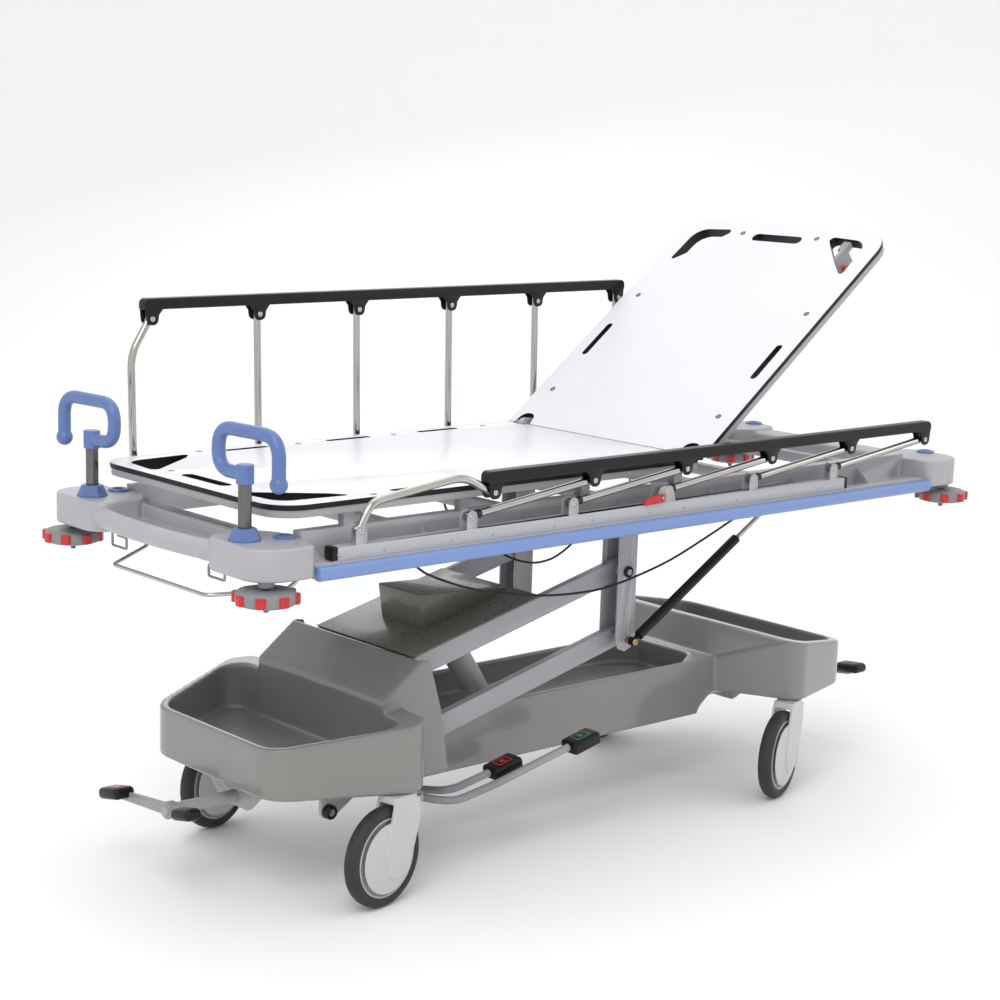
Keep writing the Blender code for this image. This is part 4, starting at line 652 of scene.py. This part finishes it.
def bumper(end, side, tag):
    """A roller: grey disc, eight rounded red pads, and the bolt that holds it."""
    body = f"bumper_{tag}"
    place = AT((end * 0.972, side * 0.335, 0.0))
    disc = [(0.0074, 0.6458), (0.0460, 0.6458), (0.0520, 0.6480), (0.0550, 0.6520), (0.0556, 0.6560),
            (0.0556, 0.6650), (0.0545, 0.6690), (0.0510, 0.6715), (0.0420, 0.6735), (0.0220, 0.6748),
            (0.0190, 0.6735), (0.0074, 0.6735)]
    piece(f"bumper_disc_{tag}", lathe(disc, 96, place, closed=True), body, "bumper_grey",
          [f"bumper_roller_{tag}"], sharp=50.0)
    pads = None
    for k in range(8):
        facing = place @ Matrix.Rotation(math.radians(45 * k), 4, "Z")
        pad = rounded([(0.050, -0.0100, 0.001), (0.0575, -0.0098, 0.0025), (0.0614, -0.0066, 0.004),
                       (0.0614, 0.0066, 0.004), (0.0575, 0.0098, 0.0025), (0.050, 0.0100, 0.001)])
        pad = moved(plate([pad], 0.6500, 0.6690, 0.0030, 4), facing)
        pads = merge(pads, pad) if pads else pad
    piece(f"bumper_pads_{tag}", pads, body, "red", sharp=60.0)
    nut = merge(lathe([(0.0, 0.6320), (0.0045, 0.6320), (0.0050, 0.6330), (0.0050, 0.6400), (0.0, 0.6400)],
                      20,
                      place),
                lathe([(0.0, 0.6375), (0.0080, 0.6375), (0.0088, 0.6385), (0.0088, 0.6442), (0.0130, 0.6446),
                       (0.0130, 0.6456), (0.0, 0.6456)], 6, place))
    piece(f"bumper_nut_{tag}", nut, body, "steel", material=DARK_STEEL, sharp=30.0)


for end, end_name in ((-1, "foot"), (1, "head")):
    for side, hand in HANDS:
        bumper(end, side, f"{end_name}_{hand}")


# Push handles -----------------------------------------------------------------------------
def push_handle(side, hand, lift):
    """A blue loop on its post and foot; it turns on the post."""
    inner, outer = -side * 0.0745, side * 0.0920
    path = [(0, 0, 0.8725), (0, inner, 0.8725), (0, inner, 0.950), (0, outer, 0.950), (0, outer, 0.8655)]
    grip = sweep(bent(path, 0.044, 10), 0.0128, 28)
    ball = lathe([(0.0, -0.0165)] + [(0.0165 * math.cos(a), 0.0165 * math.sin(a))
                                     for a in [math.radians(-75 + 15 * k) for k in range(11)]]
                 + [(0.0, 0.0165)], 32, AT((0, outer, 0.8655)))
    sleeve = lathe([(0.0, 0.8545), (0.0155, 0.8545), (0.0165, 0.8560), (0.0165, 0.8890), (0.0145, 0.8905),
                    (0.0, 0.8905)], 36)
    place = AT((-0.969, side * 0.2635, lift)) @ Matrix.Rotation(math.radians(5), 4, "Z")
    body = f"handle_{hand}"
    piece(f"push_grip_{hand}", moved(moulded(merge(grip, ball, sleeve), 0.0013, 5), place), body, "blue",
          [f"push_handle_{hand}"], sharp=180.0)
    post = lathe([(0.0, 0.6990), (0.0120, 0.6990), (0.0124, 0.7000), (0.0124, 0.8560), (0.0, 0.8560)], 40)
    piece(f"push_post_{hand}", moved(post, place), body, "steel", material=DARK_STEEL)
    collar = lathe([(0.0130, 0.7500), (0.0305, 0.7500), (0.0305, 0.7530), (0.0285, 0.7550),
                    (0.0215, 0.7715), (0.0195, 0.7725), (0.0130, 0.7725)], 10, closed=True)
    turn = AT((-0.969, side * 0.2635, 0.0)) @ Matrix.Rotation(math.radians(11), 4, "Z")
    piece(f"push_collar_{hand}", moved(collar, turn), "deck", "blue", sharp=20.0)


for (side, hand), lift in zip(HANDS, (-0.003, -0.010)):
    push_handle(side, hand, lift)


# Side rails -------------------------------------------------------------------------------
RAIL_X, RAIL_Y, RAIL_Z, PITCH, REACH = -0.7773, 0.346, 0.760, 0.2645, 0.324


def rail(side, hand, pose):
    """One side rail at its rest angle: bar, tubes, rivets, boots and plugs."""
    turn = Matrix.Rotation(-pose, 4, "Y")
    y = side * RAIL_Y
    for k in range(6):
        tip = 0.0083
        if k == 0:
            line = bent([(-tip, 0, 0), (0.004, 0, 0.002), (0.034, 0, 0.046), (0.255, 0, 0.046),
                         (REACH - 0.006, 0, 0.004), (REACH + tip, 0, 0)], 0.03, 8)
        else:
            line = [(-tip + (REACH + 2 * tip) * s / 40, 0, 0) for s in range(41)]
        post = sweep(line, 0.0079, 24, ends=(0.030, 0.85))
        place = AT((RAIL_X + k * PITCH, y, RAIL_Z)) @ turn
        piece(f"rail_tube_{hand}_{k + 1}", moved(post, place), f"rail_{hand}_post_{k + 1}", "chrome",
              [f"rail_post_{hand}_{k + 1}"])
    first = Vector((RAIL_X + REACH * math.cos(pose), y, RAIL_Z + REACH * math.sin(pose)))
    span = PITCH * 5
    bar = plate([rounded([(-0.019, 0.019, 0.003), (-0.019, 0.042, 0.012), (span + 0.019, 0.042, 0.012),
                          (span + 0.019, 0.019, 0.003)], 8)], -0.0125, 0.0125, 0.0055, 5, "XZ")
    lugs = None
    heads = None
    for k in range(6):
        x = k * PITCH
        left = 0.028 if k > 0 else 0.0165
        right = 0.028 if k < 5 else 0.0165
        lug = rounded([(x - left, 0.023, 0.002), (x - 0.0155, 0.008, 0.008), (x - 0.0125, -0.0125, 0.0118),
                       (x + 0.0125, -0.0125, 0.0118), (x + 0.0155, 0.008, 0.008), (x + right, 0.023, 0.002)])
        for low, high in ((-0.0122, -0.0090), (0.0090, 0.0122)):
            cheek = plate([lug], low, high, 0.0009, 2, "XZ")
            lugs = merge(lugs, cheek) if lugs else cheek
        for facing in (-1, 1):
            head = rivet((x, facing * 0.0120, 0.0), (0, facing, 0), 0.0058, 0.0022)
            heads = merge(heads, head) if heads else head
    body = f"rail_{hand}_top"
    piece(f"rail_bar_{hand}", moved(merge(bar, lugs), AT(first)), body, "black",
          [f"rail_top_{hand}"], sharp=45.0)
    piece(f"rail_rivets_{hand}", moved(heads, AT(first)), body, "chrome")
    heads = None
    for k in range(6):
        x = RAIL_X + k * PITCH
        for facing in (-1, 1):
            head = rivet((x, y + facing * 0.0119, RAIL_Z), (0, facing, 0), 0.0060, 0.0022)
            heads = merge(heads, head) if heads else head
        for dx in (-0.052, 0.052):
            if x + dx < 0.56:
                head = rivet((x + dx, y + side * 0.0124, 0.7235), (0, side, 0), 0.0042, 0.0013)
                heads = merge(heads, head)
    piece(f"rail_pins_{hand}", heads, "deck", "chrome")
    stops = merge(block((-0.8440, y - 0.0130, 0.7125), (-0.8310, y + 0.0130, 0.7385), 0.002, 3),
                  block((0.5810, y - 0.0130, 0.7125), (0.5920, y + 0.0130, 0.7385), 0.002, 3))
    piece(f"rail_end_plugs_{hand}", stops, "deck", "black")
    for k in range(6):
        boot = lathe([(0.0081, 0.0), (0.0089, -0.0008), (0.0089, 0.0310), (0.0081, 0.0322)], 28, TURN_Y,
                     closed=True)
        boot = moved(boot, AT((RAIL_X + k * PITCH, y, RAIL_Z)) @ turn @ AT((-0.004, 0, 0)))
        if k:
            piece(f"rail_boot_{hand}_{k + 1}", boot, f"rail_{hand}_post_{k + 1}", "black")
        else:
            boot.free()


rail(-1, "right", math.radians(7.3))
rail(1, "left", math.radians(91.2))


# Deck and backrest boards -----------------------------------------------------------------
def release_lever():
    """The red hooked lever behind the near corner hole of the backrest, flat in the board's frame."""
    x, z = 0.660, -0.0425
    line = bent([(x, 0, z), (x + 0.014, 0, z - 0.004), (x + 0.012, 0, z - 0.026), (x - 0.030, 0, z - 0.040)],
                0.018, 8)
    bm = sweep(line, 0.0062, 20)
    hub = [(0.0, -0.0064), (0.0095, -0.0064), (0.0105, -0.005), (0.0105, 0.005), (0.0095, 0.0064),
           (0.0, 0.0064)]
    bm = merge(bm, lathe(hub, 32, AT((x, 0, z)) @ TURN_X))
    piece("release_lever", moved(bm, HINGE @ AT((0, -0.2185, 0))), "backrest_release", "red",
          ["backrest_release"])


def corner_hole(points, side, radii):
    """A rounded hole through a corner of a board."""
    return rounded([(x, side * y, r) for (x, y), r in zip(points, radii)], 8)


def board(name, outlines, matrix, body, node, screws):
    """A laminate board: white faces over a black core that shows at every edge."""
    bm = moved(plate(outlines, -0.006, 0.0, 0.0007, 2), matrix)
    bm.normal_update()
    upright = matrix.to_3x3() @ Vector((0, 0, 1))
    for face in bm.faces:
        if abs(face.normal.dot(upright)) < 0.8:
            face.material_index = 1
    piece(name, bm, body, "laminate", [node], [LOOKS["laminate"], CORE], sharp=30.0)
    heads = None
    wells = None
    for x, y in screws:
        head = moved(lathe([(0.0, -0.0002), (0.0034, -0.0002), (0.0036, 0.0003), (0.0030, 0.0006),
                            (0.0014, 0.0006), (0.0012, 0.0001), (0.0, 0.0001)], 20), matrix @ AT((x, y, 0)))
        well = moved(lathe([(0.0034, -0.0006), (0.0066, -0.0006), (0.0066, 0.0003), (0.0060, 0.0005),
                            (0.0036, 0.0002)], 28, closed=True), matrix @ AT((x, y, 0)))
        heads = merge(heads, head) if heads else head
        wells = merge(wells, well) if wells else well
    piece(f"{name}_screws", heads, body, "steel")
    piece(f"{name}_screw_wells", wells, body, "black")
    # Black walls 18 mm deep under each hole, through the frame: their black is partly the walls' own dark colour
    # and partly painted shade inside the holes
    dark_and_shaded_walls = None
    for hole in outlines[1:]:
        ring = moved(plate([grown(hole, 0.0022), grown(hole, 0.0002)], -0.0240, -0.0061), matrix)
        dark_and_shaded_walls = merge(dark_and_shaded_walls, ring) if dark_and_shaded_walls else ring
    piece(f"{name}_hole_walls_dark_and_painted_shade", dark_and_shaded_walls, body, "black", material=CORE)


def grown(outline, by):
    """An outline pushed outwards by a small amount."""
    area = sum(a[0] * b[1] - b[0] * a[1] for a, b in zip(outline, outline[1:] + outline[:1]))
    sign = 1.0 if area > 0 else -1.0
    points = [Vector(p) for p in outline]
    result = []
    for before, p, after in zip(points[-1:] + points[:-1], points, points[1:] + points[:1]):
        along_edge = (after - before).normalized()
        result.append(tuple(p + Vector((along_edge.y, -along_edge.x)) * sign * by))
    return result


def gasket(name, outline, inner, matrix, body):
    """The black edging between a board and the frame under it."""
    bm = plate([grown(outline, -0.0008), inner], -0.0105, -0.0061, 0.0006, 1)
    piece(name, moved(bm, matrix), body, "black", material=CORE)


DECK_OUT = rounded(mirrored([(-0.930, 0.0), (-0.930, 0.312, 0.068), (0.1677, 0.312), (0.1677, 0.2820),
                             (0.1565, 0.2820), (0.1565, 0.2420), (0.1677, 0.2420), (0.1677, 0.0)]), 10)
deck_holes = [[(y - 0.876, x) for x, y in slot_outline(-0.062, 0.062, 0.0, 0.0135)]]
back_holes = [[(y + 0.7005, x) for x, y in slot_outline(-0.062, 0.062, 0.0, 0.0125)]]
for side in (-1, 1):
    for start, end in ((-0.648, -0.538), (-0.385, -0.267), (-0.131, -0.017)):
        deck_holes.append(slot_outline(start + 0.008, end - 0.008, side * 0.2765, 0.0085))
    deck_holes.append(corner_hole([(-0.905, 0.135), (-0.893, 0.262), (-0.735, 0.276), (-0.765, 0.240)], side,
                                  (0.012, 0.040, 0.007, 0.030)))
    back_holes.append(slot_outline(0.252, 0.348, side * 0.2650, 0.0085))
    back_holes.append(corner_hole([(0.590, 0.266), (0.714, 0.262), (0.722, 0.140), (0.640, 0.215)], side,
                                  (0.007, 0.040, 0.010, 0.045)))
board("deck_laminate", [DECK_OUT] + deck_holes, AT((0, 0, 0.812)), "deck", "deck_board",
      [(x, s * 0.276) for x in (-0.460, -0.200, 0.060) for s in (-1, 1)] +
      [(-0.877, s * 0.121) for s in (-1, 1)]
      + [(-0.700, s * 0.292) for s in (-1, 1)])
HINGE = AT((0.168, 0.0, 0.812)) @ Matrix.Rotation(-math.radians(37.9), 4, "Y")
BACK_OUT = rounded(mirrored([(0.0012, 0.0), (0.0012, 0.236), (0.034, 0.243, 0.02), (0.034, 0.281, 0.02),
                             (0.0012, 0.288), (0.0012, 0.307), (0.752, 0.307, 0.068), (0.752, 0.0)]), 10)
board("backrest_laminate", [BACK_OUT] + back_holes, HINGE, "backrest", "backrest_board",
      [(x, s * 0.262) for x in (0.120, 0.462) for s in (-1, 1)] + [(0.711, s * 0.114) for s in (-1, 1)])
release_lever()
gasket("deck_edging",
       rounded(mirrored([(-0.930, 0.0), (-0.930, 0.312, 0.068), (0.152, 0.312), (0.152, 0.0)]), 10),
       rounded(mirrored([(-0.918, 0.0), (-0.918, 0.300, 0.055), (0.140, 0.300), (0.140, 0.0)]), 10),
       AT((0, 0, 0.812)), "deck")
gasket("backrest_edging",
       rounded(mirrored([(0.024, 0.0), (0.024, 0.307), (0.752, 0.307, 0.068), (0.752, 0.0)]), 10),
       rounded(mirrored([(0.036, 0.0), (0.036, 0.295), (0.740, 0.295, 0.055), (0.740, 0.0)]), 10),
       HINGE, "backrest")


# Cables and rack --------------------------------------------------------------------------
def smooth_route(points, count):
    """Even points along a Catmull-Rom curve through the route's own points."""
    points = [Vector(p) for p in points]
    points = [points[0] * 2 - points[1]] + points + [points[-1] * 2 - points[-2]]
    dense = []
    for a, b, c, d in zip(points, points[1:], points[2:], points[3:]):
        for k in range(16):
            t = k / 16
            dense.append(0.5 * (2 * b + (c - a) * t + (2 * a - 5 * b + 4 * c - d) * t * t
                                + (3 * b - a - 3 * c + d) * t ** 3))
    dense.append(points[-2])
    lengths = [0.0]
    for a, b in zip(dense, dense[1:]):
        lengths.append(lengths[-1] + (b - a).length)
    result = []
    at = 0
    for k in range(count):
        wanted = lengths[-1] * k / (count - 1)
        while at < len(dense) - 2 and lengths[at + 1] < wanted:
            at += 1
        result.append(dense[at].lerp(dense[at + 1], (wanted - lengths[at]) / (lengths[at + 1] - lengths[at])))
    return result


TILT_CABLE = [(-0.560, -0.225, 0.6985), (-0.560, -0.225, 0.688), (-0.537, -0.225, 0.641),
              (-0.453, -0.225, 0.601), (-0.349, -0.225, 0.569), (-0.212, -0.225, 0.544),
              (-0.089, -0.225, 0.535), (0.010, -0.225, 0.540), (0.159, -0.225, 0.570),
              (0.282, -0.225, 0.611), (0.376, -0.225, 0.646), (0.450, -0.225, 0.669),
              (0.500, -0.225, 0.688), (0.502, -0.225, 0.6975)]
BACK_CABLE = [(-0.240, 0.050, 0.6985), (-0.238, 0.050, 0.688), (-0.180, 0.050, 0.635),
              (-0.120, 0.050, 0.593), (-0.070, 0.050, 0.567), (-0.022, 0.050, 0.547),
              (0.023, 0.050, 0.536), (0.060, 0.050, 0.536), (0.093, 0.050, 0.543),
              (0.138, 0.050, 0.565), (0.210, 0.050, 0.615), (0.290, 0.050, 0.668),
              (0.316, 0.050, 0.688), (0.318, 0.050, 0.6975)]
for name, route, node in (("tilt_cable_sheath", TILT_CABLE, "tilt_cable"),
                          ("backrest_cable_sheath", BACK_CABLE, "backrest_cable")):
    line = smooth_route(route, 40)
    cable = piece(name, sweep(line, 0.0025, 14), "deck", "black", [node])

RACK = [(-0.828, 0.250, 0.6990), (-0.835, 0.247, 0.660), (-0.860, 0.240, 0.640), (-0.985, 0.160, 0.631),
        (-0.985, -0.160, 0.631), (-0.860, -0.240, 0.640), (-0.835, -0.247, 0.660), (-0.828, -0.250, 0.6990)]
piece("rack_rod", sweep(bent(RACK, 0.014, 8), 0.0039, 16), "deck", "chrome", ["rod_rack"])


# Studio -----------------------------------------------------------------------------------
def studio():
    """A pale floor curving up into a wall, a white sky with two grey flags, and four soft boxes."""
    world = bpy.data.worlds.new("studio")
    bpy.context.scene.world = world
    world.use_nodes = True
    tree = world.node_tree
    coord = tree.nodes.new("ShaderNodeTexCoord")
    mapping = tree.nodes.new("ShaderNodeMapping")
    mapping.inputs["Rotation"].default_value = (0.0, 0.0, math.radians(-40.0))
    split = tree.nodes.new("ShaderNodeSeparateXYZ")
    ramp = tree.nodes.new("ShaderNodeValToRGB")
    ramp.color_ramp.elements[0].position = 0.0
    ramp.color_ramp.elements[0].color = (0.97, 0.97, 0.97, 1.0)
    ramp.color_ramp.elements[1].position = 1.0
    ramp.color_ramp.elements[1].color = (1.0, 1.0, 1.0, 1.0)
    for place, shade in ((0.20, 1.0), (0.25, 0.45), (0.30, 0.45), (0.35, 1.0), (0.63, 1.0), (0.67, 0.45),
                         (0.70, 0.45), (0.75, 1.0)):
        stop = ramp.color_ramp.elements.new(place)
        stop.color = (shade, shade, shade, 1.0)
    scale = tree.nodes.new("ShaderNodeMapRange")
    scale.inputs["From Min"].default_value = -1.0
    tree.links.new(coord.outputs["Generated"], mapping.inputs["Vector"])
    tree.links.new(mapping.outputs["Vector"], split.inputs["Vector"])
    tree.links.new(split.outputs["X"], scale.inputs["Value"])
    tree.links.new(scale.outputs["Result"], ramp.inputs["Fac"])
    tree.links.new(ramp.outputs["Color"], tree.nodes["Background"].inputs["Color"])
    tree.nodes["Background"].inputs["Strength"].default_value = 0.95
    bm = bmesh.new()
    near, flat, radius, half_width = -6.0, 3.0, 5.0, 14.0
    bend = [math.radians(step * 3.0) for step in range(1, 28)]
    line = [(near, 0.0), (flat, 0.0)] + [(flat + radius * math.sin(a), radius - radius * math.cos(a))
                                         for a in bend]
    turn = Matrix.Rotation(math.radians(40.7), 4, "Z")
    rows = [[bm.verts.new(turn @ Vector((reach, side, height))) for side in (-half_width, half_width)]
            for reach, height in line]
    for one, two in zip(rows, rows[1:]):
        bm.faces.new((one[0], two[0], two[1], one[1]))
    for face in bm.faces:
        face.smooth = True
    bm.normal_update()
    mesh = bpy.data.meshes.new("floor")
    bm.to_mesh(mesh)
    bm.free()
    mesh.materials.append(surface("pale_floor", (0.965, 0.965, 0.968), 0.7, vary=0.002, bump=0.02,
                                  specular=0.15))
    floor = bpy.data.objects.new("floor", mesh)
    bpy.context.scene.collection.objects.link(floor)
    for name, place, aim, size, power in (("key", (-3.4, -2.2, 4.4), (0, 0, 0.6), 2.8, 92.0),
                                          ("top", (0.6, 0.8, 4.8), (0, 0, 0.5), 4.0, 45.0),
                                          ("side", (4.2, -2.6, 2.2), (0.2, 0, 0.5), 2.0, 18.0),
                                          ("back", (3.0, 4.5, 3.6), (0, 0, 0.6), 3.0, 30.0)):
        data = bpy.data.lights.new(name, "AREA")
        data.size = size
        data.energy = power
        light = bpy.data.objects.new(name, data)
        light.location = place
        light.rotation_euler = (Vector(aim) - Vector(place)).to_track_quat("-Z", "Y").to_euler()
        bpy.context.scene.collection.objects.link(light)


studio()
bpy.context.scene.view_settings.view_transform = "Standard"
bpy.context.view_layer.update()
